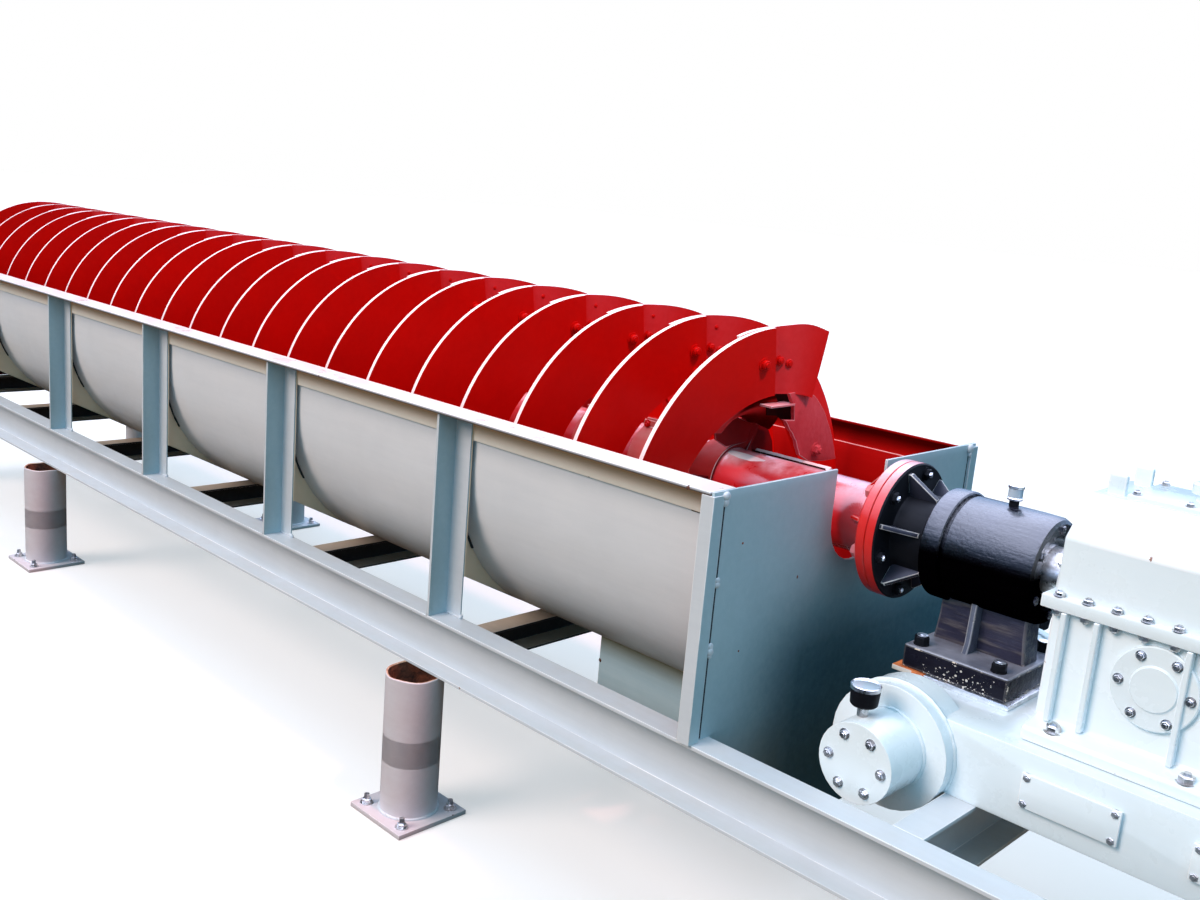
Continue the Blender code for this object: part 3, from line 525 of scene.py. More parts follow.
def cutAlong(bm, axis, places):
    for value in places:
        at, facing = Vector(), Vector()
        at[axis], facing[axis] = value, 1.0
        bmesh.ops.bisect_plane(bm, geom=bm.verts[:] + bm.edges[:] + bm.faces[:], plane_co=at, plane_no=facing)


def pickSkin(bm, chooser):
    bm.normal_update()
    for face in bm.faces:
        face.material_index = chooser(face.calc_center_median(), face.normal)


# Running a geometry tree on points or lines and keeping the plain mesh
def treeMesh(name, source, tree, values):
    holder = bpy.data.objects.new(name + "Source", source)
    bpy.context.scene.collection.objects.link(holder)
    modifier = holder.modifiers.new("build", "NODES")
    modifier.node_group = tree
    identifiers = {item.name: item.identifier for item in tree.interface.items_tree
                   if item.item_type == "SOCKET" and item.in_out == "INPUT"}
    for label, value in values.items():
        modifier[identifiers[label]] = value
    bpy.context.view_layer.update()
    graph = bpy.context.evaluated_depsgraph_get()
    mesh = bpy.data.meshes.new_from_object(holder.evaluated_get(graph), preserve_all_data_layers=True,
                                           depsgraph=graph)
    holder.modifiers.clear()
    bpy.data.objects.remove(holder)
    mesh.name = name
    return mesh


def joinRuns(name, source, tree, runs):
    # the same tree run several times and joined, with the names of the materials that it used
    bm, used = bmesh.new(), []
    for run in runs:
        mesh = treeMesh(name, source.copy(), tree, run)
        used += [skin for skin in mesh.materials if skin and skin not in used]
        shift = {i: used.index(skin) for i, skin in enumerate(mesh.materials) if skin}
        for polygon in mesh.polygons:
            polygon.material_index = shift.get(polygon.material_index, 0)
        bm.from_mesh(mesh)
    return bm, [skin.name for skin in used]


# Flight plates: one curved plate on the helicoid, repeated every half turn
def buildFlightTree():
    tree, given, out = startGroup("flightPlates", "GeometryNodeTree", {
        "Geometry": "Geometry", "Plates": 1, "First Angle": -202.7, "Span": 194.0, "Lead": 0.3893,
        "Outer": 0.381, "Inner": 0.225, "Thickness": 0.010, "Lap": 14.0, "Dip": 0.010, "Dip Centre": 30.7,
        "Dip Width": 24.0, "Slant": 0.0, "Corner": 0.0, "Turned": 0.0, "Top X": 0.0, "Axis Z": 0.888,
        "Waves": 0.003, "Arc Steps": 80, "Face Paint": "Material", "Rim Paint": "Material",
    }, {"Geometry": "Geometry"})
    grid = make(tree, "GeometryNodeMeshGrid", {"Vertices X": given["Arc Steps"], "Size X": 1.0, "Size Y": 1.0,
                                               "Vertices Y": 6})
    spot = wire(tree, "ShaderNodeSeparateXYZ", {"Vector": make(tree, "GeometryNodeInputPosition")}).outputs
    u, v = plus(tree, spot["X"], 0.5), plus(tree, spot["Y"], 0.5)
    swept = times(tree, u, given["Span"])
    slant = times(tree, given["Slant"], u, minus(tree, 1.0, v))
    angle = plus(tree, given["First Angle"], swept, slant)
    # the start of a plate lies behind the end of the last one
    behind = ease(tree, swept, plus(tree, given["Lap"], 1.0), plus(tree, given["Lap"], 9.0), -1.0, 0.0)
    shift = times(tree, behind, plus(tree, given["Thickness"], 0.0004))
    # the rim dips beside each seam, here and half a turn on
    past = minus(tree, swept, given["Dip Centre"])
    shares = [calc(tree, "DIVIDE", place, given["Dip Width"]) for place in (past, minus(tree, past, 180.0))]
    fall = plus(tree, *(calc(tree, "EXPONENT", times(tree, calc(tree, "POWER", share, 2.0), -1.0))
                        for share in shares))
    outer = minus(tree, given["Outer"], times(tree, fall, given["Dip"]))
    rounding = calc(tree, "POWER", ease(tree, u, 0.55, 1.0), 3.0)
    outer = minus(tree, outer, times(tree, rounding, given["Corner"]))
    radius = plus(tree, given["Inner"], times(tree, v, minus(tree, outer, given["Inner"])))
    turn = calc(tree, "RADIANS", angle)
    x = plus(tree, times(tree, calc(tree, "DIVIDE", angle, 360.0), given["Lead"]), shift)
    x = minus(tree, x, times(tree, given["Thickness"], 0.5))
    place = vectorOf(tree, x, times(tree, radius, calc(tree, "SINE", turn)),
                     times(tree, radius, calc(tree, "COSINE", turn)))
    lap = given["Lap"]
    fresh = times(tree, ease(tree, swept, lap, plus(tree, lap, 1.5)),
                  ease(tree, swept, plus(tree, lap, 26.0), plus(tree, lap, 6.0)))
    marked = make(tree, "GeometryNodeStoreNamedAttribute", {
        "Geometry": grid, "Value": fresh, "Name": "fresh"}, data_type="FLOAT", domain="POINT")
    bent = make(tree, "GeometryNodeSetPosition", {"Geometry": marked, "Position": place})
    pulled = wire(tree, "GeometryNodeExtrudeMesh", {
        "Mesh": bent, "Offset Scale": given["Thickness"], "Offset": (1.0, 0.0, 0.0), "Individual": False,
    }, mode="FACES")
    faced = make(tree, "GeometryNodeSetMaterial", {"Geometry": pulled.outputs["Mesh"],
                                                   "Material": given["Face Paint"]})
    at = wire(tree, "ShaderNodeSeparateXYZ", {"Vector": make(tree, "GeometryNodeInputPosition")}).outputs
    reach = calc(tree, "SQRT", plus(tree, *(calc(tree, "POWER", at[axis], 2.0) for axis in "YZ")))
    isRim = times(tree, calc(tree, "GREATER_THAN", reach, minus(tree, given["Outer"], 0.016)),
                  pulled.outputs["Side"])
    rimmed = make(tree, "GeometryNodeSetMaterial", {"Geometry": faced, "Selection": isRim,
                                                    "Material": given["Rim Paint"]})
    flipped = make(tree, "GeometryNodeFlipFaces", {"Mesh": bent})
    backing = make(tree, "GeometryNodeSetMaterial", {"Geometry": flipped, "Material": given["Face Paint"]})
    plate = tree.nodes.new("GeometryNodeJoinGeometry")
    for part in (rimmed, backing):
        tree.links.new(part, plate.inputs[0])
    sewn = make(tree, "GeometryNodeMergeByDistance", {"Geometry": plate.outputs[0], "Distance": 0.0002})
    row = make(tree, "GeometryNodeMeshLine", {"Count": given["Plates"],
                                              "Offset": vectorOf(tree, times(tree, given["Lead"], -0.5))})
    spun = vectorOf(tree, times(tree, make(tree, "GeometryNodeInputIndex"), -math.pi))
    copies = make(tree, "GeometryNodeInstanceOnPoints", {"Points": row, "Instance": sewn, "Rotation": spun})
    placed = make(tree, "GeometryNodeTransform", {
        "Geometry": copies, "Translation": vectorOf(tree, given["Top X"], 0.0, given["Axis Z"]),
        "Rotation": vectorOf(tree, calc(tree, "RADIANS", given["Turned"]))})
    real = make(tree, "GeometryNodeRealizeInstances", {"Geometry": placed})
    ripple = noise(tree, make(tree, "GeometryNodeInputPosition"), 4.5, 1.0, 0.4)
    sway = vectorOf(tree, times(tree, minus(tree, ripple, 0.5), given["Waves"]))
    tree.links.new(make(tree, "GeometryNodeSetPosition", {"Geometry": real, "Offset": sway}), out[0])
    return tree


def endTree(tree, out, geometry, paint):
    skinned = make(tree, "GeometryNodeSetMaterial", {"Geometry": geometry, "Material": paint})
    tree.links.new(skinned, out[0])
    return tree


def readAxis(tree):
    # the rotation that stands a piece on its point's axis, and the point's size
    axis = make(tree, "GeometryNodeInputNamedAttribute", {"Name": "axis"}, data_type="FLOAT_VECTOR")
    facing = make(tree, "FunctionNodeAlignRotationToVector", {"Vector": axis}, axis="Z")
    return facing, make(tree, "GeometryNodeInputNamedAttribute", {"Name": "size"}, data_type="FLOAT")


# Bolts: a washer, a hexagon with a turned crown and a stud end on every point
boltLabels = ("Head Radius", "Head Height", "Washer Radius", "Washer Height", "Stud Radius", "Stud Height")


def buildBoltTree():
    tree, given, out = startGroup("boltHeads", "GeometryNodeTree", {
        "Geometry": "Geometry", "Head Radius": 0.012, "Head Height": 0.010, "Washer Radius": 0.016,
        "Washer Height": 0.002, "Stud Radius": 0.007, "Stud Height": 0.005, "Sides": 6, "Seed": 2,
        "Paint": "Material"}, {"Geometry": "Geometry"})

    def disc(radius, share, depth, base, count):
        top = times(tree, radius, share) if share < 1.0 else radius
        cone = make(tree, "GeometryNodeMeshCone", {"Radius Bottom": radius, "Radius Top": top, "Depth": depth,
                                                   "Vertices": count}, fill_type="NGON")
        return make(tree, "GeometryNodeTransform", {"Geometry": cone,
                                                    "Translation": vectorOf(tree, 0.0, 0.0, base)})

    head, height, washer, seat, stud, studHeight = (given[label] for label in boltLabels)
    body = times(tree, height, 0.8)
    stack = tree.nodes.new("GeometryNodeJoinGeometry")
    for part in (disc(washer, 1.0, seat, 0.0, 28), disc(head, 1.0, body, seat, given["Sides"]),
                 disc(head, 0.84, times(tree, height, 0.2), plus(tree, seat, body), given["Sides"]),
                 disc(stud, 0.85, studHeight, plus(tree, seat, height), 14)):
        tree.links.new(part, stack.inputs[0])
    facing, size = readAxis(tree)
    anyTurn = wire(tree, "FunctionNodeRandomValue", {"ID": make(tree, "GeometryNodeInputIndex"),
                                                     "Seed": given["Seed"]}, data_type="FLOAT").outputs[1]
    spun = make(tree, "FunctionNodeRotateRotation", {"Rotation": facing,
                                                     "Rotate By": vectorOf(tree, 0.0, 0.0, anyTurn)},
                rotation_space="LOCAL")
    copies = make(tree, "GeometryNodeInstanceOnPoints", {
        "Points": given["Geometry"], "Instance": stack.outputs[0], "Rotation": spun, "Scale": size})
    real = make(tree, "GeometryNodeRealizeInstances", {"Geometry": copies})
    return endTree(tree, out, real, given["Paint"])


# Weld beads: a lumpy round bar along every line
def buildWeldTree():
    tree, given, out = startGroup("weldBeads", "GeometryNodeTree", {
        "Geometry": "Geometry", "Radius": 0.004, "Step": 0.006, "Lumps": 0.35, "Sides": 6,
        "Paint": "Material"}, {"Geometry": "Geometry"})
    line = make(tree, "GeometryNodeMeshToCurve", {"Mesh": given["Geometry"]})
    even = make(tree, "GeometryNodeResampleCurve", {"Curve": line, "Length": given["Step"]}, mode="LENGTH")
    lump = noise(tree, make(tree, "GeometryNodeInputPosition"), 90.0, 2.0, 0.6)
    size = times(tree, given["Radius"], plus(tree, 1.0, times(tree, minus(tree, lump, 0.5),
                                                              times(tree, given["Lumps"], 3.0))))
    ring = make(tree, "GeometryNodeCurvePrimitiveCircle", {"Resolution": given["Sides"], "Radius": 1.0})
    sweep = make(tree, "GeometryNodeCurveToMesh", {"Curve": even, "Profile Curve": ring, "Scale": size,
                                                   "Fill Caps": True})
    return endTree(tree, out, make(tree, "GeometryNodeRealizeInstances", {"Geometry": sweep}), given["Paint"])


# Copies of one piece, stepped along a line and turned about the X axis
def buildCopyTree():
    tree, given, out = startGroup("steppedCopies", "GeometryNodeTree", {
        "Geometry": "Geometry", "Count": 1, "Start": "Vector", "Step": "Vector", "First Turn": 0.0,
        "Turn": 0.0, "Paint": "Material"}, {"Geometry": "Geometry"})
    row = make(tree, "GeometryNodeMeshLine", {"Count": given["Count"], "Start Location": given["Start"],
                                              "Offset": given["Step"]})
    number = make(tree, "GeometryNodeInputIndex")
    degrees = plus(tree, given["First Turn"], times(tree, number, given["Turn"]))
    turned = vectorOf(tree, calc(tree, "RADIANS", degrees))
    copies = make(tree, "GeometryNodeInstanceOnPoints", {"Points": row, "Instance": given["Geometry"],
                                                         "Rotation": turned})
    real = make(tree, "GeometryNodeRealizeInstances", {"Geometry": copies})
    return endTree(tree, out, real, given["Paint"])


# Specks: weld spatter and dirt, flat uneven lumps on points
def buildSpeckTree():
    tree, given, out = startGroup("speckLumps", "GeometryNodeTree", {
        "Geometry": "Geometry", "Radius": 0.004, "Flatness": 0.35, "Seed": 5, "Paint": "Material",
    }, {"Geometry": "Geometry"})
    ball = make(tree, "GeometryNodeMeshIcoSphere", {"Radius": given["Radius"], "Subdivisions": 2})
    facing, size = readAxis(tree)
    spread = make(tree, "FunctionNodeRandomValue", {"ID": make(tree, "GeometryNodeInputIndex"),
                                                    "Seed": given["Seed"], "Min": (0.7, 0.6, 1.0),
                                                    "Max": (1.3, 1.1, 1.0)}, data_type="FLOAT_VECTOR")
    scaled = make(tree, "ShaderNodeVectorMath", {0: spread, "Scale": size}, operation="SCALE")
    flat = make(tree, "ShaderNodeVectorMath", {0: scaled, 1: vectorOf(tree, 1.0, 1.0, given["Flatness"])},
                operation="MULTIPLY")
    copies = make(tree, "GeometryNodeInstanceOnPoints", {"Points": given["Geometry"], "Instance": ball,
                                                         "Rotation": facing, "Scale": flat})
    real = make(tree, "GeometryNodeRealizeInstances", {"Geometry": copies})
    lump = noise(tree, make(tree, "GeometryNodeInputPosition"), 140.0, 2.0, 0.6)
    push = make(tree, "ShaderNodeVectorMath", {0: make(tree, "GeometryNodeInputNormal"),
                                               "Scale": times(tree, minus(tree, lump, 0.5), 0.004)},
                operation="SCALE")
    rough = make(tree, "GeometryNodeSetPosition", {"Geometry": real, "Offset": push})
    return endTree(tree, out, rough, given["Paint"])


flightTree = buildFlightTree()
boltTree = buildBoltTree()
weldTree = buildWeldTree()
copyTree = buildCopyTree()
speckTree = buildSpeckTree()
print("geometry trees built")


def markedPoints(name, spots):
    # spots are (place, axis, size)
    source = bpy.data.meshes.new(name)
    source.from_pydata([tuple(place) for place, axis, size in spots], [], [])
    facing = [Vector(axis).normalized() for place, axis, size in spots]
    axes = source.attributes.new("axis", "FLOAT_VECTOR", "POINT")
    axes.data.foreach_set("vector", [share for axis in facing for share in axis])
    sizes = source.attributes.new("size", "FLOAT", "POINT")
    sizes.data.foreach_set("value", [size for place, axis, size in spots])
    return source


# Each kind's head radius and height, washer radius and height, stud radius and height, and its sides
boltKinds = {"seam": (0.0105, 0.008, 0.0150, 0.0025, 0.006, 0.003, 14),
             "hoop": (0.008, 0.007, 0.0100, 0.0012, 0.0045, 0.004, 6),
             "end": (0.0105, 0.009, 0.0135, 0.0015, 0.006, 0.005, 6),
             "foot": (0.0115, 0.010, 0.016, 0.0025, 0.0072, 0.012, 6),
             "nut": (0.0125, 0.007, 0.0150, 0.002, 0.008, 0.0005, 6),
             "nutEnd": (0.0062, 0.004, 0.0062, 0.001, 0.004, 0.001, 6),
             "nutHead": (0.0125, 0.011, 0.0150, 0.002, 0.008, 0.0005, 6),
             "base": (0.0148, 0.017, 0.0152, 0.002, 0.0060, 0.001, 6),
             "baseRing": (0.0105, 0.0012, 0.0110, 0.0006, 0.0070, 0.0008, 18),
             "cap": (0.0085, 0.007, 0.010, 0.0012, 0.004, 0.001, 6),
             "lid": (0.0100, 0.008, 0.013, 0.0015, 0.005, 0.002, 6),
             "cover": (0.0095, 0.008, 0.012, 0.0015, 0.005, 0.003, 6),
             "tail": (0.0095, 0.008, 0.012, 0.0015, 0.005, 0.004, 6)}


def addBolts(name, spots, group, skinName, kind):
    values = dict(zip(boltLabels + ("Sides",), boltKinds[kind]))
    mesh = treeMesh(name, markedPoints(name, spots), boltTree, {**values, "Paint": skins[skinName]})
    finishPiece(name, mesh, [skinName], group, sharp=25.0)


def addSpecks(name, spots, group, skinName, radius, flatness=0.35, seed=5):
    mesh = treeMesh(name, markedPoints(name, spots), speckTree,
                    {"Radius": radius, "Flatness": flatness, "Seed": seed, "Paint": skins[skinName]})
    finishPiece(name, mesh, [skinName], group, sharp=80.0)


def addCopies(name, bm, runs, group, skinName, sharp=27.0):
    # bm holds one piece about the origin; each run says how often, from where and how it is repeated
    bmesh.ops.recalc_face_normals(bm, faces=bm.faces)
    copies, order = joinRuns(name, toMesh(name, bm), copyTree,
                             [{**run, "Paint": skins[skinName]} for run in runs])
    finishMesh(name, copies, order, group, sharp=sharp)


def addWelds(name, lines, group, skinName, radius):
    # lines are lists of points
    points, edges = [], []
    for line in lines:
        edges += [(i, i + 1) for i in range(len(points), len(points) + len(line) - 1)]
        points += [tuple(p) for p in line]
    source = bpy.data.meshes.new(name)
    source.from_pydata(points, edges, [])
    mesh = treeMesh(name, source, weldTree, {"Radius": radius, "Paint": skins[skinName]})
    finishPiece(name, mesh, [skinName], group, sharp=60.0)


# Flights
flights = {"outer": 0.381, "inner": 0.225, "lead": 0.3893, "thickness": 0.010, "topX": -0.2193, "seam": -8.7,
           "lap": 14.0, "dip": 0.010, "dipPast": 16.7, "dipWidth": 24.0, "plates": 21, "tailAngle": -3855.0,
           "endAngle": 16.2, "waves": 0.003, "endDip": 0.006, "endDipWidth": 9.0, "endSlant": 1.4,
           "endCorner": 0.004}


def flightPoint(angle, radius, turned, proud):
    # a point on the drive side of a flight, and the way it faces
    turn = math.radians(angle + turned)
    pitch = flights["lead"] / math.tau
    facing = Vector((radius, -pitch * math.cos(turn), pitch * math.sin(turn))).normalized()
    along = flights["topX"] + flights["lead"] * angle / 360.0 + flights["thickness"] / 2
    return spiralPlace(along, radius * math.sin(turn), radius * math.cos(turn)) + facing * proud, facing


def makeFlights():
    f = flights
    # the rims take a pale pink: bare edges and a painted highlight
    common = {"Lead": f["lead"], "Outer": f["outer"], "Inner": f["inner"], "Thickness": f["thickness"],
              "Lap": f["lap"], "Top X": alongX(f["topX"]), "Axis Z": machine["spiralZ"], "Waves": f["waves"],
              "Dip": f["dip"], "Dip Width": f["dipWidth"], "Face Paint": skins["spiralRed"],
              "Rim Paint": skins["rimPink"]}
    start = f["seam"] - f["lap"]
    tailSpan = f["seam"] - 180.0 * f["plates"] - f["tailAngle"]
    runs = [{"Plates": f["plates"], "First Angle": start - 180.0, "Span": 180.0 + f["lap"],
             "Dip Centre": f["lap"] + f["dipPast"], "Arc Steps": 80},
            {"Plates": 1, "First Angle": start, "Span": f["endAngle"] - start, "Dip": f["endDip"],
             "Dip Centre": f["lap"] + 1.0, "Dip Width": f["endDipWidth"], "Slant": f["endSlant"],
             "Corner": f["endCorner"], "Arc Steps": 34},
            {"Plates": 1, "First Angle": f["tailAngle"], "Span": tailSpan, "Lap": -20.0,
             "Dip Centre": tailSpan + f["dipPast"], "Arc Steps": 28}]
    for letter, turned in (("a", 0.0), ("b", 180.0)):
        bm, order = joinRuns("flightRun", bpy.data.meshes.new("flightSource"), flightTree,
                             [{**common, "Turned": turned, **run} for run in runs])
        finishMesh("flightPlates" + letter.upper(), bm, order, "spiral", ["flight_" + letter], recalc=True)


makeFlights()
print("flights made")


# Bolts through the flight seams, as angle, radius and size; those past the seam sit on the plate behind
seamBolts = {"spots": ((-15.0, 0.301, 1.0), (-5.6, 0.299, 0.8), (-1.3, 0.292, 0.95), (-3.5, 0.345, 0.55),
                       (-4.5, 0.262, 0.8), (-15.5, 0.250, 0.8)), "proud": 0.0002, "lastCount": 3}


def makeSeamBolts():
    for letter, turned in (("A", 0.0), ("B", 180.0)):
        spots = []
        for seam in range(flights["plates"] + 1):
            for angle, radius, size in seamBolts["spots"][:None if seam else seamBolts["lastCount"]]:
                place, facing = flightPoint(angle - 180.0 * seam, radius, turned, seamBolts["proud"])
                if angle > flights["seam"]:
                    place = place - facing * flights["thickness"] * 0.9
                spots.append((place, facing, size))
        addBolts("seamBolts" + letter, spots, "spiral", "spiralRed", "seam")


makeSeamBolts()

# Shaft tube with its collar strap hoops, and a painted reflection patch as degrees, low x and high x
shaft = {"radius": 0.076, "tubeTail": -4.545, "journal": 0.045, "hoopWidth": 0.066, "firstHoop": -0.3734,
         "firstEarTurn": 29.0, "firstEarHeight": 0.064, "hoopStep": 0.19465, "hoops": 21, "strap": 0.007,
         "earTurn": -14.0, "earHeight": 0.019, "earThickness": 0.0055, "earGap": 0.0065, "round": 0.003,
         "reflected": ((-31, -0.300, -0.268), (-27, -0.334, -0.252), (-23, -0.339, -0.238),
                    (-19, -0.338, -0.236), (-16, -0.336, -0.262), (-14, -0.330, -0.290))}


def polar(degrees, radius):
    # y and z of a point at so many degrees from the top
    return (radius * math.sin(math.radians(degrees)), radius * math.cos(math.radians(degrees)))


def makeShaft():
    low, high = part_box("screw_shaft")
    tail, end = low.x - machine["plateX"], high.x - machine["plateX"]
    tube, radius, journal, curve = shaft["tubeTail"], shaft["radius"], shaft["journal"], shaft["round"]
    profile = [(tail, 0.0), (tail, journal - curve), (tail + curve, journal), (tube, journal),
               (tube, radius - curve)] + [(x, radius) for x in steps(tube + curve, end, 12)] + [(end, 0.0)]
    bm = bmesh.new()
    addTurned(bm, profile, spiralPlace, 96)
    finishMesh("shaftTube", bm, ["shaftRed"], "spiral", ["screw_shaft"], recalc=True)
    # a pale patch painted as a reflection beside the first hoop
    bm = bmesh.new()
    grid = [[bm.verts.new(spiralPlace(x, *polar(degrees, radius + 0.0004))) for x in steps(first, last, 8)]
            for degrees, first, last in shaft["reflected"]]
    for first, second in zip(grid, grid[1:]):
        for i in range(8):
            bm.faces.new((first[i], first[i + 1], second[i + 1], second[i]))
    finishMesh("shaftReflection", bm, ["reflectionPatch"], "spiral")


def hoopPiece(earTurn, earHeight, flare):
    # one half of a hoop: a half ring with an ear at each end, the ears at earTurn past the top
    inner = shaft["radius"] + 0.0002
    outer = inner + shaft["strap"]
    turn, count = math.radians(earTurn), 30
    gap = math.asin((shaft["earGap"] / 2) / outer)
    ear = math.asin((shaft["earGap"] / 2 + shaft["earThickness"]) / (outer + 0.01))
    tip, foot = outer + earHeight, ear + 0.04

    def at(angle, radius):
        return (radius * math.sin(turn + angle), radius * math.cos(turn + angle))

    outline = [at(gap, inner), at(gap * 0.8, tip), at(ear * 0.92, tip)]
    for k in range(count + 1):
        share = k / count
        rise = flare * (math.exp(-share * 14.0) + math.exp(-(1.0 - share) * 14.0))
        outline.append(at(foot + (math.pi - 2 * foot) * share, outer + rise))
    outline += [at(math.pi - ear * 0.92, tip), at(math.pi - gap * 0.8, tip)]
    outline += [at(angle, inner) for angle in steps(math.pi - gap, gap, count)[:-1]]
    return newPrism(outline, acrossX, -shaft["hoopWidth"] / 2, shaft["hoopWidth"] / 2, 0.0011, 1, 50.0)


def makeHoops():
    start = spiralPlace(shaft["firstHoop"], 0.0, 0.0)
    step = Vector((-shaft["hoopStep"], 0.0, 0.0))
    addCopies("hoops", hoopPiece(shaft["earTurn"], shaft["earHeight"], 0.004),
              [{"Count": shaft["hoops"] - 1, "Start": start + step, "Step": step, "First Turn": turn}
               for turn in (0.0, 180.0)], "spiral", "hoopPaint", sharp=32.0)
    # the first hoop takes darker paint: soot and painted shade
    addCopies("firstHoop", hoopPiece(shaft["firstEarTurn"], shaft["firstEarHeight"], 0.012),
              [{"Count": 1, "Start": start, "First Turn": turn} for turn in (0.0, 180.0)],
              "spiral", "sootShadeRed", sharp=32.0)
    spots = []
    for i in range(shaft["hoops"]):
        earTurn = shaft["earTurn"] if i else shaft["firstEarTurn"]
        height = shaft["earHeight"] if i else shaft["firstEarHeight"]
        for half in range(2):
            turn = math.radians(earTurn + 180.0 * half)
            radial = Vector((0, math.sin(turn), math.cos(turn)))
            side = Vector((0, math.cos(turn), -math.sin(turn)))
            for dx in (-0.019, 0.019) if i else (0.010,):
                at = start + Vector((dx - shaft["hoopStep"] * i, 0, 0))
                at = at + radial * (shaft["radius"] + shaft["strap"] + height * 0.52)
                reach = shaft["earGap"] / 2 + shaft["earThickness"]
                spots += [(at + side * reach, side, 1.0), (at - side * reach, -side, 1.0)]
    addBolts("hoopBolts", spots, "spiral", "spiralRed", "hoop")


# Arms that carry the ribbons from the hoops, with a small gusset beside each ear
arms = {"foot": 0.0855, "shoulder": 0.235, "tip": 0.262, "footHalf": 0.020, "half": 0.030, "behind": -0.0115,
        "front": -0.0052, "turn": -142.5, "gussetTurn": -20.0, "gussetReach": 0.124,
        "gusset": ((-0.026, -0.004), (0.012, -0.002), (0.006, 0.026))}


def makeArms():
    half, foot = arms["half"], arms["footHalf"]
    outline = [(-foot, arms["foot"]), (foot, arms["foot"]), (half, arms["shoulder"]),
               (half - 0.006, arms["tip"]), (0.006 - half, arms["tip"]), (-half, arms["shoulder"])]
    start = spiralPlace(flights["topX"] + flights["lead"] * arms["turn"] / 360.0, 0.0, 0.0)
    # the copies turn about +X the way that carries the top towards -Y
    addCopies("arms", newPrism(outline, acrossX, arms["behind"], arms["front"]),
              [{"Count": shaft["hoops"], "Start": start, "Step": Vector((-flights["lead"] / 2, 0.0, 0.0)),
                "First Turn": -arms["turn"] - turned, "Turn": 180.0} for turned in (0.0, 180.0)],
              "spiral", "spiralRed")
    turn = math.radians(arms["gussetTurn"])
    radial = Vector((0, math.sin(turn), math.cos(turn)))
    side = Vector((0, math.cos(turn), -math.sin(turn)))
    gusset = newPrism(arms["gusset"], lambda u, v, w: radial * (arms["gussetReach"] + v) + side * u
                      + Vector((w, 0, 0)), -0.030, -0.024)
    step = Vector((-shaft["hoopStep"], 0.0, 0.0))
    start = spiralPlace(shaft["firstHoop"] + 0.004, 0.0, 0.0) + step
    addCopies("earGussets", gusset, [{"Count": shaft["hoops"] - 1, "Start": start, "Step": step,
                                      "First Turn": angle} for angle in (0.0, 180.0)], "spiral", "spiralRed")


# The end of each flight: a flat arm plate, a small shelf under the ribbon, a bent arm down to a foot on the
# first hoop, dark with soot and painted shade, and clamp bars along the shaft. Outlines are pairs of degrees
# from the top and radius.
flightEnd = {"plateX": -0.214, "plateHalf": 0.005,
             "foot": ((0.214, 0.058), (0.162, 0.058), (0.100, 0.064), (0.072, 0.078)),
             "outer": ((-0.7, 0.2270), (8, 0.231), (16, 0.2345), (23, 0.236), (34.8, 0.2285), (48.7, 0.2200),
                       (62.7, 0.2180), (72, 0.2190)),
             "inner": ((38.6, 0.103), (29.4, 0.110), (18, 0.1265), (7.3, 0.142), (-3.7, 0.168)),
             "notch": ((9.3, 0.1666), (5.8, 0.198)),
             "shelf": ((-0.240, -0.066, 0.198), (-0.2075, 0.021, 0.203)),
             "bentTop": ((-52, 0.2285), (-42, 0.2285), (-30, 0.2285), (-20, 0.2285), (-14, 0.2285),
                         (-9, 0.2285)),
             "bentLow": ((-33, 0.152), (-20.5, 0.162), (-4, 0.153), (16, 0.139), (37, 0.150), (46, 0.160)),
             "footX": -0.341, "bentThickness": 0.007, "bulge": 0.020,
             "footOutline": ((-34, 0.150), (-20.5, 0.160), (-4, 0.151), (16, 0.139), (34, 0.148), (36, 0.120),
                             (26, 0.088), (8, 0.0855), (-10, 0.0855), (-24, 0.090), (-37, 0.128)),
             "hollow": ((-10, 0.176), (-10, 0.232), (2, 0.232), (14, 0.232), (22, 0.232), (22, 0.150),
                        (14, 0.158), (2, 0.170)), "hollowX": (-0.247, -0.243),
             "backing": ((12, 0.080), (8, 0.160), (20, 0.166), (34, 0.168), (48, 0.168), (62, 0.168),
                         (78, 0.164), (92, 0.156), (102, 0.144), (102, 0.080), (70, 0.0795), (40, 0.0795)),
             "backingX": (-0.351, -0.348),
             "barX": (-0.352, -0.140), "barTurn": 52.5, "barReach": (0.0762, 0.1125), "nearReach": 0.094,
             "barGap": 0.0055, "barThickness": 0.0085, "nuts": (-0.336, -0.282), "nutReach": 0.102,
             "plateNut": (54.0, 0.151)}


def smoothArc(marks, count=6):
    # radii between the marks follow a smooth curve
    points = []
    for (a0, r0), (a1, r1) in zip(marks, marks[1:]):
        for share in steps(0.0, 1.0, count)[:-1]:
            eased = 0.5 * share + 0.5 * smooth(0.0, 1.0, share)
            points.append(polar(a0 + (a1 - a0) * share, r0 + (r1 - r0) * eased))
    return points + [polar(*marks[-1])]


def pastX(u, v, w):
    # for pieces that addEnds turns about the shaft, with w counted from the end plate
    return Vector((alongX(w), u, v))


def addEnds(name, bm, skinName):
    addCopies(name, bm, [{"Count": 1, "Start": Vector((0.0, 0.0, machine["spiralZ"])), "First Turn": turn}
                         for turn in (0.0, 180.0)], "spiral", skinName)


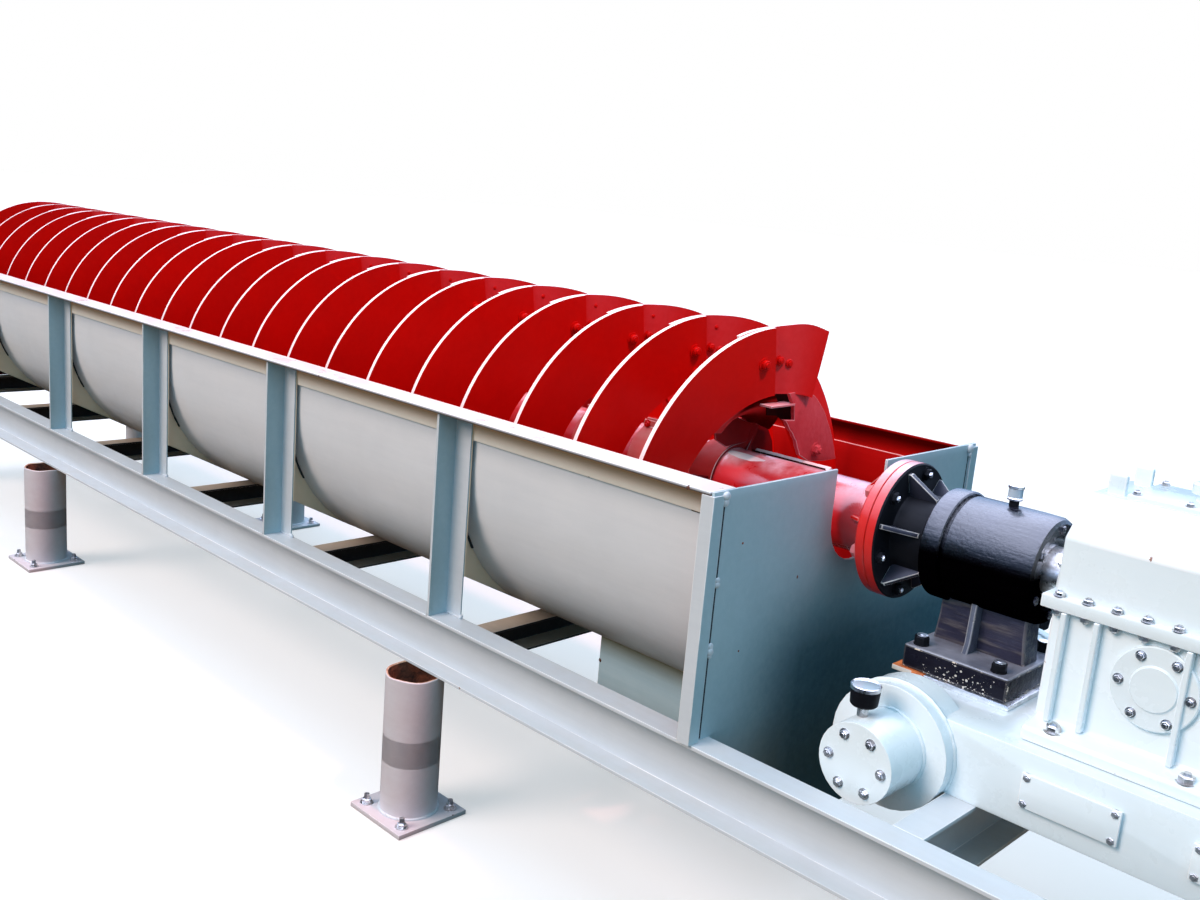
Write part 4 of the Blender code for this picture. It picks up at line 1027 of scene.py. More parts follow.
def bentArm():
    # from behind the ribbon's inner edge back to the first hoop
    end, rows, wide, deep = flightEnd, [], 20, 10
    for i in range(wide + 1):
        along = i / wide * (len(end["bentTop"]) - 1)
        k = min(int(along), len(end["bentTop"]) - 2)
        top, low = ([p + (q - p) * (along - k) for p, q in zip(end[key][k], end[key][k + 1])]
                    for key in ("bentTop", "bentLow"))
        topX = flights["topX"] + flights["lead"] * top[0] / 360.0 + 0.0035
        first, last = pastX(*polar(*top), topX), pastX(*polar(*low), end["footX"] + 0.004)
        rows.append([first.lerp(last, share) + Vector((end["bulge"] * math.sin(math.pi * share), 0, 0))
                     for share in steps(0.0, 1.0, deep)])
    bm = bmesh.new()
    front = [[bm.verts.new(p) for p in row] for row in rows]
    back = [[bm.verts.new(p - Vector((end["bentThickness"], 0, 0))) for p in row] for row in rows]
    for i in range(wide):
        for j in range(deep):
            bm.faces.new((front[i][j], front[i][j + 1], front[i + 1][j + 1], front[i + 1][j]))
            bm.faces.new((back[i][j], back[i + 1][j], back[i + 1][j + 1], back[i][j + 1]))
    border = ([(i, 0) for i in range(wide)] + [(wide, j) for j in range(deep)]
              + [(i, deep) for i in range(wide, 0, -1)] + [(0, j) for j in range(deep, 0, -1)])
    for (i, j), (k, l) in zip(border, border[1:] + border[:1]):
        bm.faces.new((front[i][j], front[k][l], back[k][l], back[i][j]))
    bmesh.ops.recalc_face_normals(bm, faces=bm.faces)
    # painted shade in the recess over the shelf, and soot with painted shade down by the hoop
    setShadeDirt(bm, lambda p: max(smooth(0.200, 0.209, math.hypot(p.y, p.z)) * smooth(-0.130, -0.100, p.y),
                               0.95 * smooth(0.205, 0.158, math.hypot(p.y, p.z))))
    return bm


def makeFlightEnds():
    end = flightEnd
    outline = [*smoothArc(end["outer"]), *end["foot"], *smoothArc(end["inner"]),
               *(polar(*mark) for mark in end["notch"])]
    low, high = end["plateX"] - end["plateHalf"], end["plateX"] + end["plateHalf"]
    addEnds("armPlates", newPrism(outline, pastX, low, high, 0.0014, 2, 40.0), "armRed")
    low, high = (Vector((alongX(x), y, z)) for x, y, z in end["shelf"])
    addEnds("endShelves", newBlock(low, high, 0.001, 2, 40.0), "shelfLitPink")
    addEnds("bentArms", bentArm(), "spiralRed")
    # the hollow and the backing are dark sheets of painted shade; the foot is dark with soot and painted
    # shade
    for name, key, low, high, skinName in (
            ("armFeet", "footOutline", end["footX"] - 0.006, end["footX"], "sootShadeRed"),
            ("endHollows", "hollow", *end["hollowX"], "sootBlack"),
            ("endBackings", "backing", *end["backingX"], "hollowRed")):
        outline = [polar(*mark) for mark in end[key]]
        addEnds(name, newPrism(outline, pastX, low, high, 0.0012, 1, 40.0), skinName)
    turn = math.radians(end["barTurn"])
    out, up = Vector((0, math.sin(turn), math.cos(turn))), Vector((0, -math.cos(turn), math.sin(turn)))
    foot = end["barReach"][0]

    def barPlace(u, v, w):
        return out * v + up * u + Vector((alongX(w), 0, 0))

    # the front bar is painted pale as a highlight and the back bar black as painted shade
    for way, reach, name, skinName in ((-1, end["barReach"][1], "clampBars", "rimPink"),
                                       (1, end["nearReach"], "clampBackShade", "sootBlack")):
        near = way * end["barGap"] / 2
        far = near + way * end["barThickness"]
        outline = [(near, foot), (far, foot), (far, reach), (near, reach)]
        addEnds(name, newPrism(outline, barPlace, *end["barX"], 0.0012, 2, 40.0), skinName)
    spots = []
    y, z = polar(*end["plateNut"])
    for half in (1, -1):
        for x in end["nuts"]:
            across = out * end["nutReach"] - up * (end["barGap"] / 2 + end["barThickness"])
            spots.append((spiralPlace(x, 0.0, 0.0) + half * across, -half * up, 0.7))
        spots.append((spiralPlace(end["plateX"] + end["plateHalf"], half * y, half * z), (1, 0, 0), 1.2))
    addBolts("endNuts", spots, "spiral", "armRed", "end")


makeShaft()
makeHoops()
makeArms()
makeFlightEnds()
print("shaft and hoops made")

# CAD plates that keep their shape: copied, rounded at the edges and painted
plates = {"legRise": 0.0092, "seamFoot": 0.0655, "face": 0.0043, "jointY": (0.4588, 0.4624),
          "joints": ((0.029, 0.167), (0.185, 0.2965), (0.325, 0.490)),
          "seams": ((-0.110, 0.0016), (-0.070, 0.0040), (-0.014, 0.0012))}


def dress(nodeName, skinNames, chooser=None, bevel=0.0013, group="frame", sharp=27.0, shadedirt=None, cuts=(),
          mould=None, first=()):
    bm = cadShape(nodeName)
    for axis, places in first:
        cutAlong(bm, axis, places)
    if mould:
        for vert in bm.verts:
            mould(vert.co)
    bevelEdges(bm, bevel)
    for axis, places in cuts:
        cutAlong(bm, axis, places)
    if shadedirt:
        setShadeDirt(bm, shadedirt)
    if chooser:
        pickSkin(bm, chooser)
    finishMesh(nodeName + "Finished", bm, skinNames, group, [nodeName], sharp)


def shellSkin(centre, normal):
    # red where the trough's hollow is, grey outside
    reach = math.hypot(centre.y, centre.z - machine["shellZ"])
    inward = normal.y * -centre.y + normal.z * (machine["shellZ"] - centre.z)
    # the shell's top edge takes a pale pink painted highlight
    if centre.z > machine["rimZ"] - 0.062 and normal.z > 0.7:
        return 2
    return 1 if inward > 0.25 * reach and abs(normal.x) < 0.7 else 0


def raiseLeg(p):
    # the hanging leg ends a little higher than the plain stock angle
    p.z += plates["legRise"] * smooth(machine["rimZ"] - 0.066, machine["rimZ"] - 0.073, p.z)


def plateShade(p):
    # painted shade: darker toward the foot of the drive
    drop = machine["rimZ"] - p.z
    return 0.12 * smooth(0.15, 0.45, drop) + 0.80 * smooth(0.16, 0.42, drop) * smooth(-0.42, -0.12, p.y)


def makeTrough():
    rim = machine["rimZ"]
    # the shell darkens and browns towards its bottom as painted shade
    dress("trough_shell", ["shellGrey", "insideRed", "ledgePink"], shellSkin, sharp=24.0,
          shadedirt=lambda p: 0.9 * smooth(0.50, 1.0, (machine["shellZ"] - p.z) / machine["shellRadius"]))
    for side, sign in sides:

        # the flange top is painted near white as a highlight; the leg's outer face gets painted shade under
        # the flange, darkest at the top
        def rimSkin(centre, normal, sign=sign):
            if normal.z > 0.6 and centre.z > rim - 0.01:
                return 1
            if normal.y * sign > 0.6 and centre.z < rim - 0.012:
                return 3
            return 2 if normal.y * sign < -0.6 and centre.z < rim - 0.001 else 0

        dress("rim_angle_" + side, ["frameGrey", "rimTopLit", "insideRed", "rimShade"], rimSkin,
              shadedirt=lambda p: smooth(rim - 0.064, rim - 0.012, p.z) * (p.z < rim - 0.005), mould=raiseLeg,
              cuts=((2, steps(rim - 0.058, rim - 0.008, 5)),))
        # a dark strip under the leg is painted as its shadow line, with a smear at the drive end
        bm = bmesh.new()
        wall, foot = machine["shellRadius"], rim - plates["seamFoot"]
        y0, y1 = sorted((sign * (wall - 0.001), sign * (wall + 0.0012)))
        first = machine["tailX"] + 0.012
        for x, deep in plates["seams"]:
            addBlock(bm, (first, y0, foot - deep), (alongX(x), y1, foot))
            first = alongX(x)
        finishMesh("rimShadowLine" + side.capitalize(), bm, ["seamShadow"], "frame", recalc=True)
    # the end plates' outer faces and the corner angles' faces along X take a darker, bluer paint as painted
    # shade, darker still toward the foot
    for end, way in (("drive", -1), ("tail", 1)):
        dress(end + "_end_plate", ["shadedTeal", "insideRed"],
              lambda centre, normal: 1 if normal.x * way > 0.7 else 0, shadedirt=plateShade,
              cuts=((1, steps(-0.44, 0.44, 12)), (2, steps(0.51, 0.98, 9))))
        for side, sign in sides:
            dress("corner_angle_" + end + "_" + side, ["frameGrey", "shadedTeal"],
                  lambda centre, normal: 1 if abs(normal.x) > 0.8 else 0)
    # dark strips painted as the shade in the open joints beside the corner angles
    bm = bmesh.new()
    for face, way in ((alongX(-plates["face"]), 1), (machine["tailX"] + plates["face"], -1)):
        for side, sign in sides:
            for top, foot in plates["joints"]:
                y0, y1 = sorted(sign * y for y in plates["jointY"])
                x0, x1 = sorted((face - way * 0.0005, face + way * 0.0006))
                addBlock(bm, (x0, y0, rim - foot), (x1, y1, rim - top))
    finishMesh("cornerJointShade", bm, ["underShade"], "frame", recalc=True)
    # the chute darkens and browns towards its top under the shell: painted shade and dirt
    dress("discharge_chute", ["chuteGrey"], shadedirt=lambda p: smooth(0.425, 0.495, p.z),
          cuts=((2, steps(0.36, 0.50, 7)),))


# Gussets between the posts and the shell, trimmed along a slope
gusset = {"inside": 0.4335, "at": 0.270, "drop": 0.4765, "slope": 0.52}


def raiseGusset(p):
    if abs(p.y) < gusset["inside"] + 0.0002:
        p.z = max(p.z, machine["rimZ"] - gusset["drop"] - gusset["slope"] * (gusset["at"] - abs(p.y)))


# faces along X take the darker, bluer paint as painted shade, and the gussets' faces a warm light paint as
# painted light
def postSkin(centre, normal):
    if abs(normal.x) > 0.7:
        return 2 if abs(centre.y) < gusset["inside"] else 1
    return 0


# the channels' faces along X are painted near black and their tops tan, as painted shade under the trough
def crossSkin(centre, normal):
    return 1 if abs(normal.x) > 0.7 else (2 if normal.z > 0.7 else 0)


def makeFrame():
    inside, beyond = gusset["inside"], gusset["inside"] + 0.0004
    for side, sign in sides:
        dress("side_beam_" + side, ["frameGrey"])
        for i in range(1, 6):
            dress("post_%s_%d" % (side, i), ["frameGrey", "shadedTeal", "gussetLit"], postSkin,
                  mould=raiseGusset, first=((1, (-inside, inside, -beyond, beyond)),))
    for i in range(1, 7):
        dress("cross_member_%d" % i, ["frameGrey", "underShade", "shelfShadedTan"], crossSkin)
    for i in range(1, 3):
        dress("drive_cross_member_%d" % i, ["frameGrey"])


# Legs: pipe with a rusty open rim on a foot plate
leg = {"radius": 0.070, "wall": 0.006, "footThickness": 0.012, "boltIn": 0.072}


def makeLegs():
    bolts, rings = [], []
    outer, wall, foot = leg["radius"], leg["wall"], leg["footThickness"]
    for side, sign in sides:
        for i in range(1, 5):
            node = "leg_%s_%d" % (side, i)
            low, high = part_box(node)
            middle, top = Vector(((low.x + high.x) / 2, (low.y + high.y) / 2, 0.0)), high.z

            def pipePlace(along, u, v):
                # the sawn rim isn't quite level or round
                ragged = 0.0012 * math.sin(5 * math.atan2(v, u) + i) if along > top - 0.004 else 0.0
                return middle + Vector((u, v, along - 0.0014 + ragged))

            bm = bmesh.new()
            addTurned(bm, [(foot + 0.0016, outer), (foot + 0.20, outer), (top - 0.22, outer),
                           (top - 0.0020, outer), (top, outer - 0.0018), (top, outer - wall + 0.0018),
                           (top - 0.0020, outer - wall), (top - 0.12, outer - wall),
                           (foot + 0.003, outer - wall)], pipePlace)
            bmesh.ops.holes_fill(bm, edges=[e for e in bm.edges if e.is_boundary])
            for face in bm.faces:
                at = face.calc_center_median() - middle
                outside = math.hypot(at.x, at.y) > outer - 0.0012
                face.material_index = 0 if outside else (1 if at.z > top - 0.006 else 2)
            addPart(bm, newBlock((low.x, low.y, 0.0), (high.x, high.y, foot), 0.0015))
            finishMesh(node + "Pipe", bm, ["pipeGrey", "rimRust", "darkRust"], "frame", [node], recalc=True)
            bolts += [(middle + Vector((dx * leg["boltIn"], dy * leg["boltIn"], foot)), (0, 0, 1), 1.0)
                      for dx in (-1, 1) for dy in (-1, 1)]
            rings.append([middle + Vector((*pair, foot + 0.001)) for pair in around(40, outer, closed=True)])
    addBolts("footBolts", bolts, "frame", "steel", "foot")
    addWelds("footWelds", rings, "frame", "frameGrey", radius=0.005)


# Weld beads and blobs where plates meet; the tacks are drops from the rim and sizes
welds = {"radius": 0.0035, "blob": 0.0065, "joint": 0.0036, "postFlat": 0.4368, "postSide": 0.444,
         "chuteY": 0.192, "chuteZ": 0.512, "tackY": 0.4612, "flangeX": 0.079, "flange": 0.0775,
         "tacks": ((0.010, 1.7), (0.021, 1.3), (0.171, 0.9), (0.180, 1.2), (0.302, 1.0), (0.312, 1.5),
                   (0.321, 0.9))}


def runFrom(start, end, count=10):
    return [Vector(start).lerp(Vector(end), k / count) for k in range(count + 1)]


def shellY(drop, radius):
    # how far out the shell is at a drop from the rim
    below = max(0.0, drop - (machine["rimZ"] - machine["shellZ"]))
    return math.sqrt(radius ** 2 - below ** 2)


def makeFrameWelds():
    lines, blobs, joints = [], [], []
    rim, bead = machine["rimZ"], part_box("side_beam_near")[1].z + 0.002
    for side, sign in sides:
        for i in range(1, 6):
            low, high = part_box("post_%s_%d" % (side, i))
            flat, back = sign * welds["postFlat"], sign * welds["postSide"]
            edge = high.y if sign > 0 else low.y
            lines.append(runFrom((low.x + 0.008, flat, bead), (high.x - 0.004, flat, bead)))
            lines.append(runFrom((low.x - 0.001, back, bead), (low.x - 0.001, edge, bead)))
            for drop in (0.085, 0.16, 0.235):
                inner = sign * shellY(drop, machine["shellRadius"])
                lines.append(runFrom((low.x + 0.0092, inner, rim - drop),
                                     (low.x + 0.0092, inner, rim - drop - 0.035), 5))
            blobs.append((Vector((high.x, flat, bead + 0.002)), (0.4, sign, 0.5), 1.2))
            joints.append([(low.x + 0.0088, sign * shellY(drop, 0.4230), rim - drop)
                           for drop in steps(0.100, 0.345, 24)])
        for i in range(1, 7):
            low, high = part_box("cross_member_%d" % i)
            y, z = sign * (abs(high.y) - 0.002), high.z - 0.004
            lines.append(runFrom((low.x, y, z), (high.x, y, z), 8))
    # the gusset joints are dark beads painted as the shade in the seam
    addWelds("gussetJointShade", joints, "frame", "underShade", welds["joint"])
    lines += [runFrom((alongX(-0.533), sign * welds["chuteY"], welds["chuteZ"]),
                      (alongX(-0.02), sign * welds["chuteY"], welds["chuteZ"]), 30) for side, sign in sides]
    addWelds("frameWelds", lines, "frame", "frameGrey", welds["radius"])
    # the corner angles are tacked to the end plates
    blobs += [(Vector((face - way * 0.001, sign * welds["tackY"], rim - drop)), (way, 0, 0), size)
              for face, way in ((alongX(0.0), 1), (machine["tailX"], -1)) for side, sign in sides
              for drop, size in welds["tacks"]]
    addSpecks("weldBlobs", blobs, "frame", "frameGrey", welds["blob"], flatness=0.55)
    ring = [spiralPlace(welds["flangeX"], y, z) for z, y in around(48, welds["flange"], closed=True)]
    addWelds("flangeWeld", [ring], "spiral", "spiralRed", radius=0.005)


# Dark marks and pale spatter: plate marks as y and z, the others as x and z, rim marks as x and size
marks = {"plate": ((-0.392, 0.8895), (-0.1956, 0.7871), (-0.3666, 0.6669)), "radius": 0.0030,
         "web": ((-0.903, 0.390), (-0.698, 0.385)), "beamEdge": (-0.684, 0.3705),
         "chute": ((-0.530, 0.423), (-0.5185, 0.351)), "rim": ((-0.0635, 1.5), (-1.30, 1.0), (-2.02, 1.2)),
         "spatter": 34, "spatterX": (-0.08, -4.3), "spatterY": 0.4162, "spatterZ": (0.9375, -0.16)}


def makeMarks():
    toward, out = (1, 0, 0), (0, -1, 0)
    dark = [(Vector((alongX(-plates["face"]), y, z)), toward, 1.0) for y, z in marks["plate"]]
    dark += [(Vector((alongX(x), -0.431, z)), out, 1.0) for x, z in marks["web"]]
    x, z = marks["beamEdge"]
    dark.append((Vector((alongX(x), -0.4900, z)), out, 0.9))
    dark += [(Vector((alongX(x), -0.1900, z)), out, 1.5) for x, z in marks["chute"]]
    dark += [(Vector((alongX(x), -0.4975, machine["rimZ"] - 0.003)), (0, -1, 0.3), size)
             for x, size in marks["rim"]]
    addSpecks("darkMarks", dark, "frame", "darkRust", marks["radius"])
    pale = []
    (x, length), (z, depth) = marks["spatterX"], marks["spatterZ"]
    for k in range(marks["spatter"]):
        # spread by a fixed rule, not drawn at random
        along, down, size = k * 0.618034 % 1.0, (k * 0.381966 % 1.0) ** 2, k * 0.7549 % 1.0
        at = Vector((alongX(x + along * length), marks["spatterY"], z + down * depth))
        pale.append((at, out, 0.5 + size * 0.8))
    addSpecks("paleSpatter", pale, "frame", "ledgePink", marks["radius"], flatness=0.3)


# Coupling: red disc on the tube, black ribbed disc on the stub, six studs
coupling = {"discX": 0.081, "thickness": 0.022, "gap": 0.0004, "radius": 0.142, "hub": 0.084, "hubEnd": 0.196,
            "stub": 0.050, "stubEnd": 0.530, "ribTurn": 47.0, "ribHalf": 0.005, "ribRim": 0.132,
            "ribTip": 0.088, "nutTurn": 17.0, "nutRadius": 0.121, "studOut": 0.0085}


def makeCoupling():
    c = coupling
    back, radius, hub, end, stub, last = (c[key] for key in ("discX", "radius", "hub", "hubEnd", "stub",
                                                             "stubEnd"))
    seam = back + c["thickness"]
    bm = bmesh.new()
    addTurned(bm, [(back, 0.0), (back, radius - 0.004), (back + 0.004, radius), (seam - 0.0016, radius),
                   (seam - 0.0002, radius - 0.0018), (seam - 0.0002, 0.0)], spiralPlace, 96)
    finishMesh("tubeDisc", bm, ["discRed"], "spiral", ["tube_flange"], recalc=True)
    front = seam + c["gap"]
    face = front + c["thickness"]
    bm = bmesh.new()
    addTurned(bm, [(front, 0.0), (front, radius - 0.0018), (front + 0.0016, radius), (face - 0.003, radius),
                   (face, radius - 0.003), (face, hub + 0.008), (face + 0.0024, hub + 0.0024),
                   (face + 0.008, hub), (end - 0.004, hub), (end, hub - 0.004), (end, stub + 0.001),
                   (end + 0.002, stub), (last - 0.002, stub), (last, stub - 0.002), (last, 0.0)],
              spiralPlace, 96)
    for f in bm.faces:
        at = f.calc_center_median()
        rim = math.hypot(at.y, at.z - machine["spiralZ"]) > radius - 0.0013
        f.material_index = 1 if rim else (2 if at.x > alongX(end + 0.001) else 0)
    finishMesh("stubDisc", bm, ["couplingBlack", "discRed", "steel"], "hub", ["coupling_flange"], recalc=True)
    # the ribs and gussets stand along +Y, turned by the copies
    run = {"Count": 6, "Start": spiralPlace(0.0, 0.0, 0.0), "First Turn": c["ribTurn"], "Turn": 60.0}
    outline = [(face - 0.001, hub - 0.004), (face - 0.001, c["ribRim"]), (face + 0.006, c["ribRim"]),
               (end - 0.008, c["ribTip"]), (end - 0.008, hub - 0.004)]
    rib = newPrism(outline, asDrawn, -c["ribHalf"], c["ribHalf"], 0.0016, 2, 20.0)
    addCopies("discRibs", rib, [run], "hub", "ribBlack")
    outline = [(back + 0.001, 0.072), (back + 0.001, 0.128), (back - 0.007, 0.128), (back - 0.052, 0.082),
               (back - 0.052, 0.072)]
    addCopies("tubeGussets", newPrism(outline, asDrawn, -0.004, 0.004, 0.0014, 1, 20.0), [run], "spiral",
              "spiralRed")
    ring = around(6, c["nutRadius"], c["nutTurn"] / 60.0)
    # the heads behind the red disc take the pale pink of a painted highlight
    for name, x, way, size, group, skinName, kind in (
            ("couplingNuts", face, 1, 1.0, "hub", "couplingBlack", "nut"),
            ("couplingStuds", face + c["studOut"], 1, 1.0, "hub", "zinc", "nutEnd"),
            ("couplingHeads", back, -1, 1.15, "spiral", "shelfLitPink", "nutHead")):
        addBolts(name, [(spiralPlace(x, y, z), (way, 0, 0), size) for y, z in ring], group, skinName, kind)
    print("coupling made")


# Bearing: turned housing with a collar ring, webbed foot on a thick base plate over a rusty shim
bearing = {"x0": 0.205, "x1": 0.430, "radius": 0.105, "collar": 0.111, "collarEnd": 0.245, "bore": 0.0509,
           "baseX": (0.208, 0.426), "baseHalf": 0.118, "baseTop": 0.700, "baseThickness": 0.047,
           "webX": (0.229, 0.405), "webHalf": 0.030, "webTop": 0.815, "ribX": 0.3085, "ribHalf": 0.0065,
           "ribReach": 0.060, "boltX": (0.232, 0.394), "boltY": 0.094, "flare": 0.008, "capRing": 0.083,
           "shimRust": 0.235, "shimZinc": 0.262, "chips": 120, "chipsX": (0.252, 0.150), "chipsUp": 0.038}


def makeBearing():
    b = bearing
    x0, x1, r, bore, rim, collar = (b[key] for key in ("x0", "x1", "radius", "bore", "collar", "collarEnd"))
    profile = [(x0 + 0.006, bore), (x0 + 0.003, bore + 0.014), (x0 + 0.003, rim - 0.020), (x0, rim - 0.016),
               (x0, rim - 0.004), (x0 + 0.002, rim - 0.001), (x0 + 0.005, rim), (collar - 0.005, rim),
               (collar - 0.002, rim - 0.001), (collar, rim - 0.004), (collar + 0.0005, r - 0.006),
               (collar + 0.004, r - 0.006), (collar + 0.006, r - 0.0015), (collar + 0.010, r),
               (x1 - 0.045, r), (x1 - 0.012, r - 0.001), (x1 - 0.004, r - 0.005), (x1, r - 0.012),
               (x1, r - 0.030), (x1 - 0.004, r - 0.034), (x1 - 0.004, bore + 0.010), (x1 - 0.006, bore)]
    bm = bmesh.new()
    addSolid(bm, lambda part: addTurned(part, profile + profile[:1], spiralPlace, 112))
    bmesh.ops.remove_doubles(bm, verts=bm.verts, dist=0.00002)
    # the web flares a little at its foot
    top, web, flare, lift = b["baseTop"], b["webTop"], b["flare"], 0.050
    left, right = (alongX(x) for x in b["webX"])
    outline = [(left - flare, top - 0.004), (right + flare, top - 0.004), (right + flare * 0.25, top + lift),
               (right, web), (left, web), (left - flare * 0.25, top + lift)]
    addSolid(bm, lambda part: addPrism(part, outline, lambda u, v, w: Vector((u, w, v)), -b["webHalf"],
                                       b["webHalf"]), 0.005, 3, skin=1)
    reach, low, high = b["ribReach"], alongX(b["ribX"] - b["ribHalf"]), alongX(b["ribX"] + b["ribHalf"])
    ribOutline = [(-reach - 0.010, top - 0.006), (-reach, top + 0.020), (0.006 - reach, web - 0.003),
                  (reach - 0.006, web - 0.003), (reach, top + 0.020), (reach + 0.010, top - 0.006)]
    addSolid(bm, lambda part: addPrism(part, ribOutline, acrossX, low, high), 0.003, 2, skin=3)
    half, foot = b["baseHalf"], top - b["baseThickness"]
    base = newBlock((alongX(b["baseX"][0]), -half, foot), (alongX(b["baseX"][1]), half, top), 0.005, 3)
    # the base plate's top takes a lighter paint: dust and a painted reflection
    for face in base.faces:
        topSheen = face.calc_center_median().z > top - 0.003 and face.normal.z > 0.5
        face.material_index = 3 if topSheen else 2
    addPart(bm, base)
    # the barrel is painted darker and duller on its lower side: painted shade
    layer = loopMarks(bm, "shadedirt")
    for face in bm.faces:
        if face.material_index == 0:
            for loop in face.loops:
                y, z = loop.vert.co.y, loop.vert.co.z - machine["spiralZ"]
                loop[layer] = smooth(0.42, 0.0, z / max(math.hypot(y, z), 0.001))
    finishMesh("bearingHousing", bm, ["bearingNavy", "bearingWeb", "baseChipped", "baseTopSheen"], "black",
               ["bearing_housing"])
    # chips knocked off the lower front of the plate
    chips = []
    for k in range(b["chips"]):
        along, down, large = (math.sin((k + 3) * step) * 43758.5 % 1.0 for step in (12.99, 78.23, 39.35))
        x = b["chipsX"][0] + b["chipsX"][1] * along
        z = foot + 0.002 + b["chipsUp"] * down ** 2.2
        size = (0.30 + 1.2 * large ** 3) * (0.4 + 0.6 * math.sin(math.pi * along))
        chips.append((Vector((alongX(x), -half, z)), (0, -1, 0), size))
    addSpecks("baseChips", chips, "black", "creamPaint", radius=0.0018, flatness=0.12, seed=8)
    spots = [(Vector((alongX(x), y * b["boltY"], top)), (0, 0, 1), 1.0) for x in b["boltX"] for y in (-1, 1)]
    addBolts("baseBolts", spots, "black", "couplingBlack", "base")
    rings = [(at + Vector((0, 0, 0.0186)), facing, size) for at, facing, size in spots]
    addBolts("baseBoltRings", rings, "black", "zinc", "baseRing")
    spots = [(spiralPlace(x, y, z), (way, 0, 0), 1.0) for y, z in around(6, b["capRing"], 0.5)
             for x, way in ((x1 - 0.003, 1), (x0 + 0.003, -1))]
    addBolts("capBolts", spots, "black", "bearingNavy", "cap")
    rusty, bright = alongX(b["shimRust"]), alongX(b["shimZinc"])

    def shimSkin(centre, normal):
        if centre.x > bright or normal.x > 0.5:
            return 1
        return 2 if normal.y < -0.6 and centre.x < rusty else 0

    bm = cadShape("bearing_shim")
    cutAlong(bm, 0, (rusty, bright))
    bevelEdges(bm, 0.0012)
    pickSkin(bm, shimSkin)
    finishMesh("shimPlate", bm, ["rust", "zinc", "creamPaint"], "shim", ["bearing_shim"])
    print("bearing made")


# Cups: a grease cup with a glass body on the bearing, oil cups on the trunnions
# Outlines are in shares of a cup's height and radius
cups = {"grease": ((0, 0), (0, 0.62), (0.26, 0.62), (0.28, 0.94), (0.36, 1), (0.40, 0.90), (0.80, 0.90),
                   (0.83, 1), (0.95, 1), (1, 0.80), (1, 0)),
        "oil": ((0, 0), (0, 0.36), (0.30, 0.36), (0.33, 0.80), (0.38, 0.90), (0.82, 0.97), (0.84, 1),
                (0.95, 1), (0.97, 0.96), (0.94, 0.86), (0.96, 0.55), (1, 0))}


def greaseSkin(height, reach):
    return 1 if height < 0.27 else (2 if 0.40 < height < 0.80 else 0)


def oilSkin(height, reach):
    if height < 0.31:
        return 3
    if reach < 0.86:
        return 2 if height > 0.6 else 0
    return 1 if height > 0.835 else 0


def makeCup(name, node, outline, chooser, skinNames, group):
    low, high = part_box(node)
    middle, tall, wide = (low + high) / 2, high.z - low.z, (high.x - low.x) / 2
    bm = bmesh.new()
    addTurned(bm, [(low.z + tall * height, wide * reach) for height, reach in outline],
              lambda along, u, v: Vector((middle.x + u, middle.y + v, along)), 48)
    for face in bm.faces:
        at = face.calc_center_median()
        reach = math.hypot(at.x - middle.x, at.y - middle.y)
        face.material_index = chooser((at.z - low.z) / tall, reach / wide)
    finishMesh(name, bm, skinNames, group, [node], recalc=True)


def makeCups():
    makeCup("greaseCup", "grease_cup", cups["grease"], greaseSkin, ["zinc", "couplingBlack", "cupGlass"],
            "cup")
    for side, sign in sides:
        makeCup("oilCup" + side.capitalize(), "oil_cup_" + side, cups["oil"], oilSkin,
                ["couplingBlack", "zinc", "cupGlass", "steel"], "black")


# Drive base: welded box with lids over its hand holes, an arched boss and a trunnion on each side
driveBase = {"boss": 0.119, "bossX": 0.290, "bossZ": 0.560, "trunnion": 0.075, "trunnionEnd": 0.390,
             "lidX": (0.62, 0.90), "lidY": 0.2555, "lidHalf": 0.085, "lidZ": (0.545, 0.608),
             "lidBoltY": 0.257, "lidBoltX": 0.075, "lidBoltZ": (0.553, 0.600), "endRing": 0.054,
             "weldFoot": 0.508}


def makeDriveBase():
    d = driveBase
    bossX, bossZ = alongX(d["bossX"]), d["bossZ"]
    dress("drive_base", ["drivePale"], group="drive", bevel=0.003)
    bm, spots, lines = bmesh.new(), [], []
    for side, sign in sides:
        for x in d["lidX"]:
            y, (z0, z1) = sign * d["lidY"], d["lidZ"]
            addPart(bm, newBlock((alongX(x - d["lidHalf"]), y - 0.0055, z0),
                                 (alongX(x + d["lidHalf"]), y + 0.0015, z1), 0.002))
            spots += [(Vector((alongX(x + dx), sign * d["lidBoltY"], z)), (0, sign, 0), 0.7)
                      for dx in (-d["lidBoltX"], d["lidBoltX"]) for z in d["lidBoltZ"]]
        spots += [(Vector((bossX + x, sign * d["trunnionEnd"], bossZ + z)), (0, sign, 0), 0.8)
                  for x, z in around(6, d["endRing"])]
        for radius, y in ((d["boss"] + 0.001, 0.251), (d["trunnion"] + 0.001, 0.281)):
            ring = [Vector((bossX + x, sign * y, bossZ + z)) for x, z in around(48, radius, closed=True)
                    if bossZ + z > d["weldFoot"]]
            lines.append(sorted(ring, key=lambda p: math.atan2(p.x - bossX, p.z - bossZ)))
    finishMesh("basePads", bm, ["drivePale"], "drive")
    addBolts("baseLidBolts", spots, "drive", "steel", "lid")
    addWelds("bossWelds", lines, "drive", "drivePale", radius=0.004)


